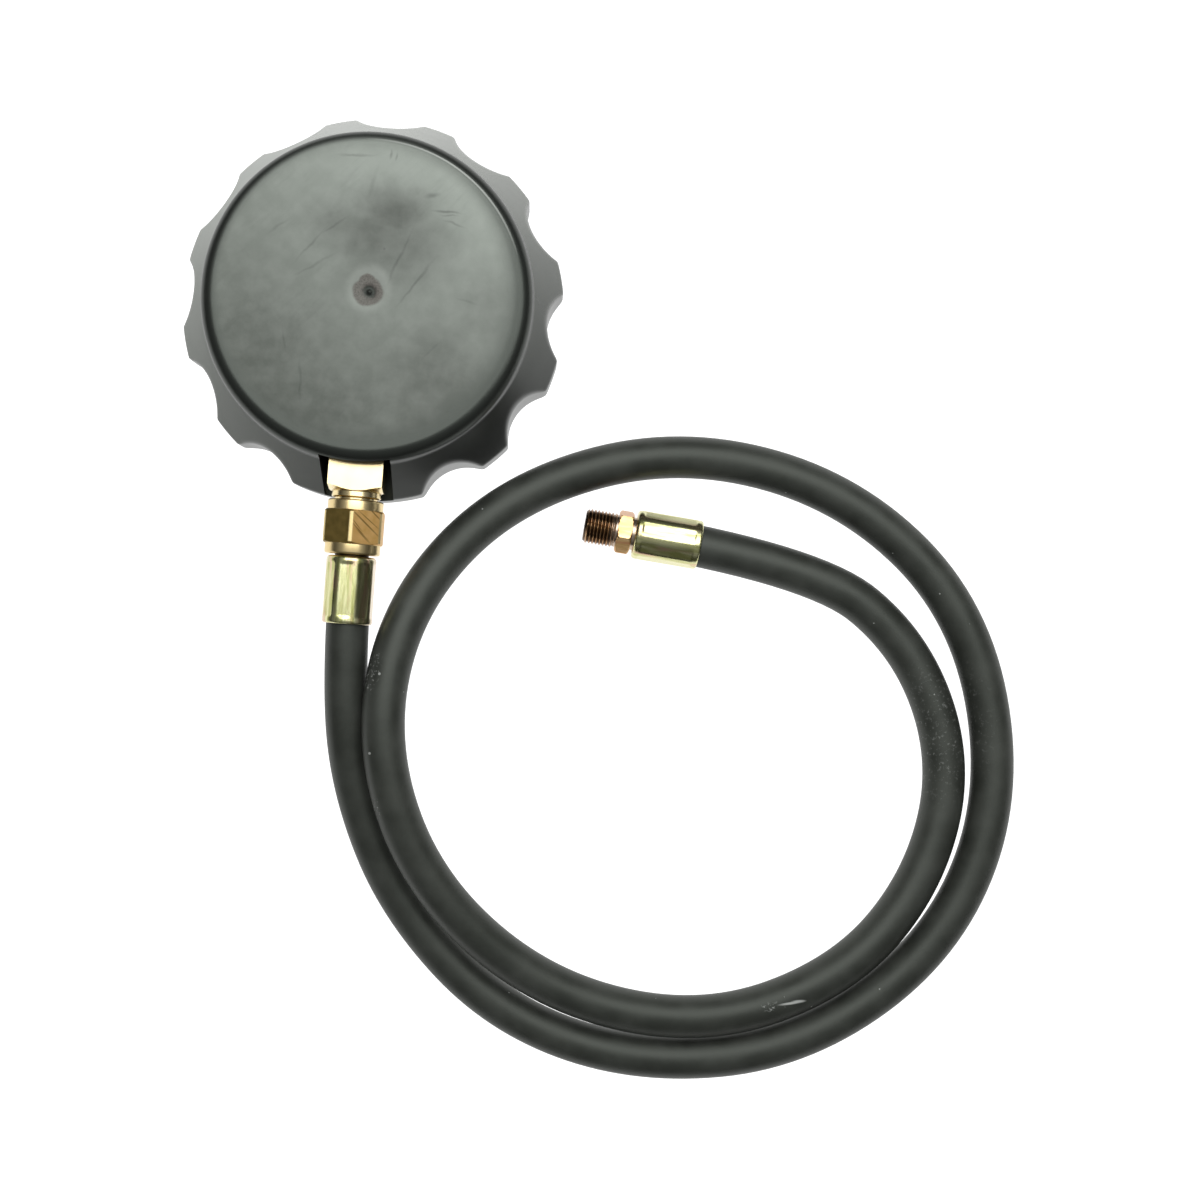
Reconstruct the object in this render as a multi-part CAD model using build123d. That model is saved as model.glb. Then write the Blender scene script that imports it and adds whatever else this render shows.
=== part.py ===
from build123d import *
import math
import os

# Engine oil pressure tester: an 80 mm dial gauge in a scalloped rubber boot, on a rubber hose.
# It lies dial down. The gauge axis is Z, the boot's front rim is at height 0 and the stem points
# along -Y. Lengths are in millimetres, angles in degrees.

# How far a cut runs past what it goes through
cut_past = 5.0

# Rubber boot
lobe_count = 12
lobe_radius = 53.9
lobe_land_height = 12.5
front_edge_round = 1.6
scallop_radius = 10.4
scallop_depth = 4.6
land_round = 2.5
shoulder_wall = 4.1
shoulder_drop = 4.37
back_edge_round = 3.9
lip_thickness = 2.4
lip_cover = 3.2
boot_fit = 0.12
boot_back_thickness = 3.2
back_dish_inset = 0.4
back_dish_depth = 0.25
back_crown = 0.5
gate_pad_radius = 3.4
gate_pad_depth = 0.3
gate_stub_radius = 1.1
stem_slot_play = 2.25
stem_slot_below = 1.5
stem_slot_above = 5.8

# Gauge case, bezel and window
case_radius = 41.0
case_wall = 0.8
case_depth = 24.4
case_corner = 2.0
bezel_wall = 0.85
bezel_fit = 0.1
bezel_lap = 7.2
bezel_cover = 2.6
bezel_edge_chamfer = 0.6
window_thickness = 2.0
window_play = 0.2
gasket_thickness = 1.0
gasket_width = 2.4

# Dial and pointer
dial_gap = 1.6
dial_thickness = 0.5
dial_setback = 4.3
dial_centre_hole = 2.6
dial_screw_x = 8.0
dial_screw_y = -5.0
dial_screw_radius = 1.0
dial_screw_head_radius = 1.9
dial_screw_head = 0.7
dial_pillar_radius = 1.9
pointer_length = 31.0
pointer_tail = 10.5
pointer_width = 3.2
pointer_tip_width = 0.7
pointer_thickness = 0.5
pointer_hub_radius = 3.2
pointer_hub_height = 2.0
pointer_lift = 1.4
pointer_rest_angle = -45.0
stop_pin_reach = 24.0
stop_pin_radius = 0.5
stop_pin_height = 2.5
stop_pin_gap = 0.3

# Movement: two plates on pillars, pinion, toothed sector, hairspring
plate_thickness = 1.0
plate_gap = 6.0
dial_to_plate = 2.0
plate_width = 30.0
plate_height = 29.0
plate_centre_x = -5.0
plate_centre_y = -6.5
plate_corner = 6.0
foot_width = 16.0
foot_length = 6.0
foot_play = 1.0
pillar_places = [(6.5, 4.5), (3.0, -17.0), (-16.5, -3.0)]
pillar_radius = 1.5
plate_screw_radius = 0.8
plate_screw_head_radius = 1.5
plate_screw_head = 0.9
gear_module = 0.4
pinion_tooth_count = 10
sector_full_tooth_count = 80
sector_tooth_count = 12
tooth_share = 0.41
tooth_tip_share = 0.2
tooth_addendum = 0.8
tooth_dedendum = 1.15
sector_bearing = 222.0
sector_thickness = 1.0
sector_rim_width = 2.2
sector_arm_width = 2.0
sector_hub_radius = 2.6
sector_lift = 1.6
staff_radius = 1.1
pivot_radius = 0.5
pivot_play = 0.05
pinion_lift = 0.9
pinion_length = 2.4
arbor_radius = 0.9
pointer_spindle_radius = 0.8
end_shake = 0.1
hairspring_turn_count = 4
hairspring_inner_radius = 1.95
hairspring_pitch = 0.9
hairspring_strip = 0.2
hairspring_height = 0.8
hairspring_lift = 4.2
collet_radius = 1.85
collet_height = 1.0
stud_width = 1.6

# Bourdon tube, its tip and the link
tube_bend_radius = 29.0
tube_start_angle = -78.0
tube_end_angle = 197.0
tube_height = 12.0
tube_thickness = 3.4
tube_wall = 0.5
tip_block_angle = 6.0
tip_block_thickness = 4.2
tip_pin_x = -21.5
tip_pin_y = -4.0
tip_lug_thickness = 1.0
tip_lug_width = 3.2
tail_radius = 4.6
tail_angle = 220.0
link_width = 2.4
link_thickness = 0.6
link_pin_radius = 0.5
link_pin_head_radius = 0.8
link_pin_head = 0.35
link_fit = 0.05
open_pivot_play = 0.27

# Brass stem socket
stem_height = 19.5
stem_square = 15.0
stem_square_short = 2.2
stem_square_round = 8.9
stem_band_radius = 6.85
stem_groove = 0.5
stem_neck_radius = 5.9
stem_neck_in_nut = 0.6
stem_thread_radius = 6.58
stem_thread_length = 7.6
stem_bore_radius = 2.4
stem_seat_radius = 4.6
block_width = 18.0
block_inset = 3.2
shelf_lap = 2.0
shelf_thickness = 4.5
feed_radius = 1.0
stem_hole_play = 0.3
case_screw_x = 5.0
case_screw_inset = 8.0
case_screw_radius = 1.5
case_screw_head_radius = 2.8
case_screw_head = 1.0
case_screw_length = 7.0
foot_screw_x = 5.0
foot_screw_inset = 3.6
foot_screw_radius = 1.0
foot_screw_head_radius = 1.8
foot_screw_head = 0.8
foot_screw_depth = 3.4
restrictor_length = 4.0
restrictor_bore = 0.4

# Swivel nut, hose tails, ferrules and adapter
nut_to_boot = 0.5
nut_length = 15.1
nut_across_flats = 16.0
nut_collar_radius = 7.75
nut_collar_length = 2.8
nut_wall_end = 3.0
thread_play = 0.05
tail_collar_radius = 6.3
tail_collar_length = 2.2
tail_neck_radius = 4.7
tail_bore_radius = 2.0
barb_radius = 3.0
barb_root = 2.6
barb_count = 4
barb_pitch = 3.6
nut_to_ferrule = 0.5
ferrule_length = 18.8
ferrule_radius = 7.0
ferrule_wall = 0.9
ferrule_face = 1.2
ferrule_flat_radius = 6.72
ferrule_flat_count = 8
near_flats_turn = 15.5
far_flats_turn = 0.0
ferrule_rim = 1.9
hose_fit = 0.05
adapter_neck = 0.9
adapter_hex_across = 11.0
adapter_hex_length = 4.2
adapter_hex_turn = 12.8
adapter_relief = 0.5
adapter_thread_radius = 5.0
adapter_thread_length = 8.9
adapter_lead_in = 0.9
adapter_bearing = 174.5

# Hose
hose_radius = 6.0
hose_route = [
    (4.9, -136.4, 13.5), (20.3, -168.7, 8), (50.4, -197, 6), (91, -208, 6), (137.1, -200.2, 6),
    (175.6, -168, 6), (189.5, -123, 6), (176.4, -71.8, 6), (138.6, -39.9, 6), (89, -31.1, 6),
    (42.8, -47.7, 8.5), (15.8, -80.4, 19.5), (10.4, -120.1, 25.2), (26.7, -160, 19.5),
    (63.4, -188.9, 10.9), (109, -195.2, 10.4), (147.9, -177.8, 9.1), (169, -149.1, 6.7),
    (174.3, -115, 6), (160.1, -82.4, 6),
]
first_bend_reach = 104.0
last_bend_reach = 33.5
far_mouth = (97.4, -58.93)

# Radii, levels and reaches that follow from the sizes above
dial_radius = case_radius - case_wall - dial_gap
bezel_opening_radius = case_radius - bezel_cover
lip_opening_radius = case_radius - lip_cover
shoulder_radius = case_radius + boot_fit + shoulder_wall
scallop_floor_radius = lobe_radius - scallop_depth
back_dish_radius = shoulder_radius - back_edge_round - back_dish_inset
block_outer_reach = case_radius - block_inset
shelf_reach = plate_height / 2 - plate_centre_y - shelf_lap
foot_reach = shelf_reach + foot_length
block_inner_reach = foot_reach + foot_play
case_screw_y = -(case_radius - case_screw_inset)
foot_screw_y = -(shelf_reach + foot_screw_inset)
nut_start = lobe_radius + nut_to_boot
stem_square_end = nut_start - stem_square_short
stem_band_end = nut_start - stem_groove
stem_neck_end = nut_start + stem_neck_in_nut
stem_thread_end = stem_neck_end + stem_thread_length
bezel_front = lip_thickness
window_front = bezel_front + bezel_wall
gasket_front = window_front + window_thickness
case_front = gasket_front + gasket_thickness
case_back = case_front + case_depth
dial_back = case_front + dial_setback + dial_thickness
dial_front = dial_back - dial_thickness
front_plate_bottom = dial_back + dial_to_plate
front_plate_top = front_plate_bottom + plate_thickness
back_plate_bottom = front_plate_top + plate_gap
back_plate_top = back_plate_bottom + plate_thickness
sector_bottom = front_plate_top + sector_lift
link_bottom = sector_bottom + sector_thickness + 2 * end_shake
hairspring_bottom = front_plate_top + hairspring_lift
bezel_radius = case_radius + bezel_fit + bezel_wall
boot_floor = case_back + case_screw_head + boot_fit
boot_back = boot_floor + boot_back_thickness
shoulder_height = boot_back - shoulder_drop
stem_slot_floor = stem_height - stem_square / 2 - stem_slot_below
stem_slot_top = stem_height + stem_square / 2 + stem_slot_above
centre_distance = gear_module * (pinion_tooth_count + sector_full_tooth_count) / 2
sector_x = centre_distance * math.cos(math.radians(sector_bearing))
sector_y = centre_distance * math.sin(math.radians(sector_bearing))
tail_pin_x = sector_x + tail_radius * math.cos(math.radians(tail_angle))
tail_pin_y = sector_y + tail_radius * math.sin(math.radians(tail_angle))
nut_end = nut_start + nut_length
near_ferrule_start = nut_end + nut_to_ferrule
near_mouth = near_ferrule_start + ferrule_length
hose_depth = ferrule_length - ferrule_face
far_axis = Vector(math.cos(math.radians(adapter_bearing)), math.sin(math.radians(adapter_bearing)), 0)

stem_plane = Plane(origin=(0, 0, stem_height), x_dir=(1, 0, 0), z_dir=(0, -1, 0))
far_plane = Plane(
    origin=(far_mouth[0], far_mouth[1], ferrule_radius),
    x_dir=(-far_axis.Y, far_axis.X, 0),
    z_dir=far_axis,
)


def polar(radius, angle):
    return radius * math.cos(math.radians(angle)), radius * math.sin(math.radians(angle))


def turned(points):
    """Solid of revolution about Z from (radius, height) corners."""
    return revolve(Plane.XZ * make_face(Polyline(*points, close=True)), Axis.Z)


def disc(radius, bottom, top, x=0.0, y=0.0):
    return Pos(x, y, (bottom + top) / 2) * Cylinder(radius, top - bottom)


def ring(outer, inner, bottom, top):
    return disc(outer, bottom, top) - disc(inner, bottom, top)


def block(x0, x1, y0, y1, z0, z1):
    centre = Pos((x0 + x1) / 2, (y0 + y1) / 2, (z0 + z1) / 2)
    return centre * Box(x1 - x0, y1 - y0, z1 - z0)


def plate(outline, bottom, thickness):
    return extrude(Pos(0, 0, bottom) * outline, thickness)


def bar(start, end, width):
    """Flat bar outline with round ends between two points."""
    return SlotCenterToCenter(math.dist(start, end), width, rotation=math.degrees(
        math.atan2(end[1] - start[1], end[0] - start[0]))).moved(
        Location(((start[0] + end[0]) / 2, (start[1] + end[1]) / 2, 0)))


def toothed_outline(teeth, module, fraction_of_turn, first_angle):
    """Gear outline with straight-flanked teeth over a share of the turn, as a sketch at the origin."""
    pitch_radius = module * teeth / 2
    tip = pitch_radius + tooth_addendum * module
    root = pitch_radius - tooth_dedendum * module
    step = 360 / teeth
    pitch_half = step * tooth_share / 2
    tip_half = step * tooth_tip_share / 2
    root_half = 2 * pitch_half - tip_half
    count = round(teeth * fraction_of_turn)
    outline = Circle(root)
    for k in range(count):
        middle = first_angle + k * step
        corners = [
            polar(root - 0.1 * module, middle - root_half), polar(tip, middle - tip_half),
            polar(tip, middle + tip_half), polar(root - 0.1 * module, middle + root_half),
        ]
        outline += make_face(Polyline(*corners, close=True))
    return outline


def protective_boot():
    """One moulding: folded front lip, lobed grip rim, cone, rounded back edge, dished back."""
    skin = turned([
        (0, 0), (lobe_radius - front_edge_round, 0), (lobe_radius, front_edge_round),
        (lobe_radius, lobe_land_height), (shoulder_radius, shoulder_height),
        (shoulder_radius, boot_back), (0, boot_back),
    ])
    back_rim = skin.edges().filter_by(GeomType.CIRCLE).group_by(Axis.Z)[-1]
    skin = fillet(back_rim, back_edge_round)
    land_top = skin.edges().filter_by(GeomType.CIRCLE).filter_by(
        lambda e: abs(e.center().Z - lobe_land_height) < 0.01)
    skin = fillet(land_top, land_round)
    for k in range(1, lobe_count):
        x, y = polar(scallop_floor_radius + scallop_radius, -90 + k * 360 / lobe_count)
        skin -= disc(scallop_radius, -1, boot_back + 1, x, y)
    dish = turned([
        (0, boot_back + 1), (0, boot_back - back_dish_depth), (gate_pad_radius, boot_back - back_dish_depth),
        (back_dish_radius / 2, boot_back - back_dish_depth + back_crown / 2),
        (back_dish_radius, boot_back - back_dish_depth), (back_dish_radius + 0.3, boot_back + 1),
    ])
    gate = disc(gate_pad_radius, boot_back - back_dish_depth - gate_pad_depth, boot_back)
    stub = disc(gate_stub_radius, boot_floor + 1, boot_back - back_dish_depth)
    cavity = turned([
        (0, lip_thickness), (bezel_radius + boot_fit, lip_thickness),
        (bezel_radius + boot_fit, bezel_front + bezel_lap + bezel_wall + boot_fit),
        (case_radius + boot_fit, bezel_front + bezel_lap + 2 * bezel_wall + boot_fit),
        (case_radius + boot_fit, boot_floor - case_corner),
        (case_radius + boot_fit - case_corner, boot_floor), (0, boot_floor),
    ])
    opening = disc(lip_opening_radius, -1, lip_thickness + 1)
    half = stem_square / 2 + stem_slot_play
    slot = block(-half, half, -lobe_radius - cut_past, -case_radius + cut_past,
                 stem_slot_floor, stem_slot_top)
    return skin - dish - gate + stub - cavity - opening - slot


def case_openings():
    """What is cut in the case: the square stem hole and the two screw holes."""
    half = stem_square / 2 + stem_hole_play
    hole = block(-half, half, -case_radius - cut_past, -case_radius + cut_past,
                 stem_height - half, stem_height + half)
    screws = [disc(case_screw_radius + 0.1, case_back - 3, case_back + 1, s * case_screw_x, case_screw_y)
              for s in (-1, 1)]
    return hole + screws[0] + screws[1]


def gauge_case():
    """Pressed steel cup, open to the front."""
    outside = fillet(disc(case_radius, case_front, case_back).edges().group_by(Axis.Z)[-1], case_corner)
    hollow = disc(case_radius - case_wall, case_front - 1, case_back - case_wall)
    hollow = fillet(hollow.edges().group_by(Axis.Z)[-1], case_corner - case_wall)
    return outside - hollow - case_openings()


def bezel_ring():
    """Pressed ring that laps over the case and holds the window down on its gasket."""
    inner = case_radius + bezel_fit
    return turned([
        (bezel_opening_radius, bezel_front), (bezel_radius - bezel_edge_chamfer, bezel_front),
        (bezel_radius, bezel_front + bezel_edge_chamfer),
        (bezel_radius, bezel_front + bezel_wall + bezel_lap),
        (inner, bezel_front + bezel_wall + bezel_lap),
        (inner, window_front), (bezel_opening_radius, window_front),
    ])


def window():
    return disc(case_radius - window_play, window_front, gasket_front)


def window_gasket():
    outer = case_radius - window_play
    return ring(outer, outer - gasket_width, gasket_front, case_front)


def dial_screw_spots():
    return [(dial_screw_x, dial_screw_y), (-dial_screw_x, -dial_screw_y)]


def stop_pin_spot():
    """The pointer at zero rests against the pin, half its own width away."""
    width_there = pointer_width + (pointer_tip_width - pointer_width) * stop_pin_reach / pointer_length
    offset = width_there / 2 + stop_pin_radius + stop_pin_gap
    return polar(stop_pin_reach, pointer_rest_angle - math.degrees(offset / stop_pin_reach))


def dial_plate():
    face = disc(dial_radius, dial_front, dial_back) - disc(dial_centre_hole, dial_front - 1, dial_back + 1)
    for x, y in dial_screw_spots():
        face -= disc(dial_screw_radius + 0.1, dial_front - 1, dial_back + 1, x, y)
    x, y = stop_pin_spot()
    return face - disc(stop_pin_radius, dial_front - 1, dial_back + 1, x, y)


def zero_stop_pin():
    x, y = stop_pin_spot()
    return disc(stop_pin_radius, dial_front - stop_pin_height, dial_back, x, y)


def dial_screws():
    screws = []
    for x, y in dial_screw_spots():
        head = disc(dial_screw_head_radius, dial_front - dial_screw_head, dial_front, x, y)
        slot = block(x - 3, x + 3, y - 0.25, y + 0.25, dial_front - dial_screw_head - 1, dial_front - 0.4)
        screws.append(head - slot + disc(dial_screw_radius, dial_front, dial_back + 1.5, x, y))
    return Compound(screws)


def dial_pillars():
    pillars = []
    for x, y in dial_screw_spots():
        post = disc(dial_pillar_radius, dial_back, front_plate_bottom, x, y)
        pillars.append(post - disc(dial_screw_radius, dial_back - 1, dial_back + 1.5, x, y))
    return Compound(pillars)


def pointer():
    """Blade with a tail, pressed on the spindle by a round hub."""
    top = dial_front - pointer_lift
    bottom = top - pointer_thickness
    half, tip_half = pointer_width / 2, pointer_tip_width / 2
    outline = make_face(Polyline(
        (-pointer_tail, -half), (0, -half), (pointer_length, -tip_half), (pointer_length, tip_half),
        (0, half), (-pointer_tail, half), close=True))
    blade = Rot(0, 0, pointer_rest_angle) * plate(outline, bottom, pointer_thickness)
    hub = disc(pointer_hub_radius, top - pointer_hub_height, top + 0.4)
    return blade + hub - disc(pointer_spindle_radius, bottom - 5, top + 5)


def plate_outline():
    rectangle = Rectangle(plate_width, plate_height)
    return Pos(plate_centre_x, plate_centre_y) * chamfer(rectangle.vertices(), plate_corner)


def bearing_holes(bottom, top, spindle_radius):
    return (disc(spindle_radius + pivot_play, bottom - 1, top + 1)
            + disc(pivot_radius + pivot_play, bottom - 1, top + 1, sector_x, sector_y))


def movement_front_plate():
    return (plate(plate_outline(), front_plate_bottom, plate_thickness)
            - bearing_holes(front_plate_bottom, front_plate_top, pointer_spindle_radius))


def movement_back_plate():
    """Like the front plate, with a foot that sits on the socket's shelf."""
    half = foot_width / 2
    foot = block(-half, half, -foot_reach, plate_centre_y, back_plate_bottom, back_plate_top)
    body = plate(plate_outline(), back_plate_bottom, plate_thickness) + foot
    body -= bearing_holes(back_plate_bottom, back_plate_top, pivot_radius)
    for x, y in pillar_places:
        body -= disc(plate_screw_radius, back_plate_bottom - 1, back_plate_top + 1, x, y)
    for side in (-1, 1):
        body -= disc(foot_screw_radius, back_plate_bottom - 1, back_plate_top + 1,
                     side * foot_screw_x, foot_screw_y)
    return body


def movement_pillars():
    pillars = []
    for x, y in pillar_places:
        post = disc(pillar_radius, front_plate_top, back_plate_bottom, x, y)
        pillars.append(post - disc(plate_screw_radius, back_plate_bottom - 3, back_plate_bottom + 1, x, y))
    return Compound(pillars)


def movement_screws():
    screws = []
    for x, y in pillar_places:
        head = disc(plate_screw_head_radius, back_plate_top, back_plate_top + plate_screw_head, x, y)
        slot = block(x - 2, x + 2, y - 0.25, y + 0.25, back_plate_top + 0.5, back_plate_top + 2)
        screws.append(head - slot + disc(plate_screw_radius, back_plate_bottom - 3, back_plate_top, x, y))
    return Compound(screws)


def foot_screws():
    screws = []
    for side in (-1, 1):
        x = side * foot_screw_x
        head = disc(foot_screw_head_radius, back_plate_bottom - foot_screw_head, back_plate_bottom,
                    x, foot_screw_y)
        shank = disc(foot_screw_radius, back_plate_bottom, back_plate_top + foot_screw_depth,
                     x, foot_screw_y)
        screws.append(head + shank)
    return Compound(screws)


def pinion_arbor():
    """Spindle with its pinion cut in one piece; one tooth points at the sector's pivot."""
    pinion = plate(toothed_outline(pinion_tooth_count, gear_module, 1, sector_bearing),
                   front_plate_top + pinion_lift, pinion_length)
    spindle = turned([
        (0, dial_front - pointer_lift - pointer_hub_height), (pointer_spindle_radius,
         dial_front - pointer_lift - pointer_hub_height),
        (pointer_spindle_radius, front_plate_top + end_shake), (arbor_radius, front_plate_top + end_shake),
        (arbor_radius, back_plate_bottom - end_shake), (pivot_radius, back_plate_bottom - end_shake),
        (pivot_radius, back_plate_top - end_shake), (0, back_plate_top - end_shake),
    ])
    return pinion + spindle


def hairspring_collet():
    bottom = hairspring_bottom - (collet_height - hairspring_height) / 2
    return ring(collet_radius, arbor_radius, bottom, bottom + collet_height)


def hairspring():
    """Flat spiral of half circles; even ones are centred on the arbor."""
    step = hairspring_pitch / 2
    arcs = []
    for k in range(2 * hairspring_turn_count):
        radius = hairspring_inner_radius + k * step
        centre = (0, 0) if k % 2 == 0 else (step, 0)
        arcs.append(CenterArc(centre, radius, 180 * (k % 2), 180))
    strip = trace(Wire(arcs), hairspring_strip)
    return plate(strip, hairspring_bottom, hairspring_height)


def hairspring_stud():
    outer = hairspring_inner_radius + hairspring_turn_count * hairspring_pitch + hairspring_strip / 2
    return block(outer, outer + stud_width, -stud_width / 2, stud_width / 2,
                 hairspring_bottom - 0.2, back_plate_bottom)


def sector_gear():
    """Toothed sector on two arms, its staff, and the short tail that the link pulls."""
    step = 360 / sector_full_tooth_count
    facing = sector_bearing - 180
    first = facing - 1.5 * step
    last = first + (sector_tooth_count - 1) * step
    pitch_radius = gear_module * sector_full_tooth_count / 2
    root = pitch_radius - tooth_dedendum * gear_module
    teeth = toothed_outline(sector_full_tooth_count, gear_module,
                            sector_tooth_count / sector_full_tooth_count, first)
    fan = make_face(Polyline((0, 0), polar(2 * root, first - step / 2), polar(2 * root, last + step / 2),
                             close=True))
    rim = teeth & fan
    rim -= Circle(root - sector_rim_width)
    middle = root - sector_rim_width / 2
    flat = rim + Circle(sector_hub_radius)
    for angle in (first + step / 2, last - step / 2):
        flat += bar((0, 0), polar(middle, angle), sector_arm_width)
    flat += bar((0, 0), polar(tail_radius, tail_angle), link_width)
    body = plate(flat, sector_bottom, sector_thickness) - disc(staff_radius, sector_bottom - 1, link_bottom)
    x, y = polar(tail_radius, tail_angle)
    return Pos(sector_x, sector_y, 0) * (body - disc(link_pin_radius, sector_bottom - 1, link_bottom, x, y))


def sector_staff():
    staff = turned([
        (0, front_plate_bottom + end_shake), (pivot_radius, front_plate_bottom + end_shake),
        (pivot_radius, front_plate_top + end_shake), (staff_radius, front_plate_top + end_shake),
        (staff_radius, back_plate_bottom - end_shake), (pivot_radius, back_plate_bottom - end_shake),
        (pivot_radius, back_plate_top - end_shake), (0, back_plate_top - end_shake),
    ])
    return Pos(sector_x, sector_y, 0) * staff


def link_pin(x, y):
    """Headed pin riveted in a lug; it carries one end of the link."""
    top = link_bottom + link_thickness + end_shake
    return (disc(link_pin_radius, sector_bottom, top, x, y)
            + disc(link_pin_head_radius, top, top + link_pin_head, x, y))


def sector_link_pin():
    return link_pin(tail_pin_x, tail_pin_y)


def tip_link_pin():
    return link_pin(tip_pin_x, tip_pin_y)


def link():
    """Flat link; its far hole is the linkage's open pivot and has the larger play."""
    outline = bar((tip_pin_x, tip_pin_y), (tail_pin_x, tail_pin_y), link_width)
    outline -= Pos(tip_pin_x, tip_pin_y) * Circle(link_pin_radius + link_fit)
    outline -= Pos(tail_pin_x, tail_pin_y) * Circle(link_pin_radius + open_pivot_play)
    return plate(outline, link_bottom, link_thickness)


def tube_section(shrink):
    """Flattened oval across the tube, as a face in the XZ plane at the bend radius."""
    outline = SlotOverall(tube_height - 2 * shrink, tube_thickness - 2 * shrink, rotation=90)
    return Plane.XZ * (Pos(tube_bend_radius, stem_height) * outline)


def tube_solid(shrink):
    turn = tube_end_angle - tube_start_angle
    return Rot(0, 0, tube_start_angle) * revolve(tube_section(shrink), Axis.Z, turn)


def bourdon_tube():
    return tube_solid(0) - tube_solid(tube_wall)


def bourdon_tip():
    """Cap brazed on the tube's free end, with a lug and the pin that pulls the link."""
    section = Plane.XZ * (Pos(tube_bend_radius, stem_height) * Rectangle(tip_block_thickness, tube_height))
    cap = Rot(0, 0, tube_end_angle) * revolve(section, Axis.Z, tip_block_angle)
    root = polar(tube_bend_radius, tube_end_angle + tip_block_angle / 2)
    lug = plate(bar(root, (tip_pin_x, tip_pin_y), tip_lug_width), sector_bottom, tip_lug_thickness)
    lug -= disc(3.0, sector_bottom - 1, sector_bottom + 3, *polar(tube_bend_radius, tube_end_angle - 4))
    return cap + lug - disc(link_pin_radius, sector_bottom - 1, link_bottom, tip_pin_x, tip_pin_y)


def stem_socket():
    """Brass forging: block inside the case, square stem, neck, male thread and pressure bore."""
    half = stem_square / 2
    inside = block(-block_width / 2, block_width / 2, -block_outer_reach, -block_inner_reach,
                   stem_height - tube_height / 2, case_back - case_wall)
    shelf = block(-foot_width / 2, foot_width / 2, -block_inner_reach, -shelf_reach,
                  back_plate_top, back_plate_top + shelf_thickness)
    square = block(-half, half, -stem_square_end, -block_inner_reach, stem_height - half, stem_height + half)
    rounding = stem_plane * turned([
        (0, block_inner_reach), (half * 2, block_inner_reach), (half * 2, stem_square_end - 3),
        (stem_square_round, stem_square_end - 1), (half - 0.4, stem_square_end), (0, stem_square_end),
    ])
    spigot = stem_plane * turned([
        (0, stem_square_end - 2), (stem_band_radius, stem_square_end - 2),
        (stem_band_radius, stem_band_end - 0.4), (stem_band_radius - 0.4, stem_band_end),
        (stem_neck_radius, stem_band_end), (stem_neck_radius, stem_neck_end),
        (stem_thread_radius, stem_neck_end + 0.7), (stem_thread_radius, stem_thread_end - 0.8),
        (stem_thread_radius - 0.8, stem_thread_end), (0, stem_thread_end),
    ])
    bore = stem_plane * turned([
        (0, block_inner_reach + 3), (stem_bore_radius, block_inner_reach + 4), (stem_bore_radius,
         stem_thread_end - (stem_seat_radius - stem_bore_radius) * math.sqrt(3)),
        (stem_seat_radius, stem_thread_end), (stem_seat_radius, stem_thread_end + 1),
        (0, stem_thread_end + 1),
    ])
    body = inside + shelf + (square & rounding) + spigot - bore - tube_solid(0)
    root_x, root_y = polar(tube_bend_radius, tube_start_angle)
    feed = Plane(origin=(0, root_y, stem_height), z_dir=(1, 0, 0)) * disc(feed_radius, 0, root_x)
    body -= feed
    for side in (-1, 1):
        body -= disc(case_screw_radius, case_back - case_screw_length, case_back,
                     side * case_screw_x, case_screw_y)
        body -= disc(foot_screw_radius, back_plate_top - 1, back_plate_top + foot_screw_depth,
                     side * foot_screw_x, foot_screw_y)
    return body


def restrictor_screw():
    """Small screw with a pin hole in the stem bore; it damps pulses."""
    start = stem_neck_end - restrictor_length
    plug = turned([
        (restrictor_bore, start), (stem_bore_radius, start), (stem_bore_radius, start + restrictor_length),
        (restrictor_bore, start + restrictor_length),
    ])
    return stem_plane * plug


def case_screws():
    screws = []
    for side in (-1, 1):
        x = side * case_screw_x
        head = disc(case_screw_head_radius, case_back, case_back + case_screw_head, x, case_screw_y)
        drive = block(x - 2.2, x + 2.2, case_screw_y - 0.4, case_screw_y + 0.4,
                      case_back + 0.4, case_back + 2)
        shank = disc(case_screw_radius, case_back - case_screw_length, case_back, x, case_screw_y)
        screws.append(head - drive + shank)
    return Compound(screws)


def swivel_nut():
    """Brass union nut: hexagon between two round collars, female thread, shoulder behind the tail."""
    hexagon = Pos(0, 0, nut_start) * extrude(
        RegularPolygon(nut_across_flats / 2, 6, major_radius=False, rotation=30), nut_length)
    body = turned([
        (0, nut_start), (nut_collar_radius - 0.5, nut_start), (nut_collar_radius, nut_start + 0.5),
        (nut_collar_radius, nut_start + nut_collar_length),
        (nut_across_flats / 2, nut_start + nut_collar_length),
        (nut_across_flats * 0.6, nut_start + nut_collar_length + 1.2),
        (nut_across_flats * 0.6, nut_end - nut_collar_length - 1.2),
        (nut_across_flats / 2, nut_end - nut_collar_length),
        (nut_collar_radius, nut_end - nut_collar_length),
        (nut_collar_radius, nut_end - 0.5), (nut_collar_radius - 0.5, nut_end), (0, nut_end),
    ])
    corners = hexagon + disc(nut_collar_radius, nut_start, nut_end)
    thread = disc(stem_thread_radius + thread_play, nut_start - 1, nut_end - nut_wall_end)
    hole = disc(tail_neck_radius + thread_play, nut_start, nut_end + 1)
    return stem_plane * ((body & corners) - thread - hole)


def barbed(start):
    """Corners of a barbed insert that runs from start along the axis inside the hose."""
    corners = []
    for k in range(barb_count):
        corners += [(barb_root, start + k * barb_pitch), (barb_radius, start + (k + 0.25) * barb_pitch)]
    return corners + [(barb_root, start + barb_count * barb_pitch)]


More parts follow.
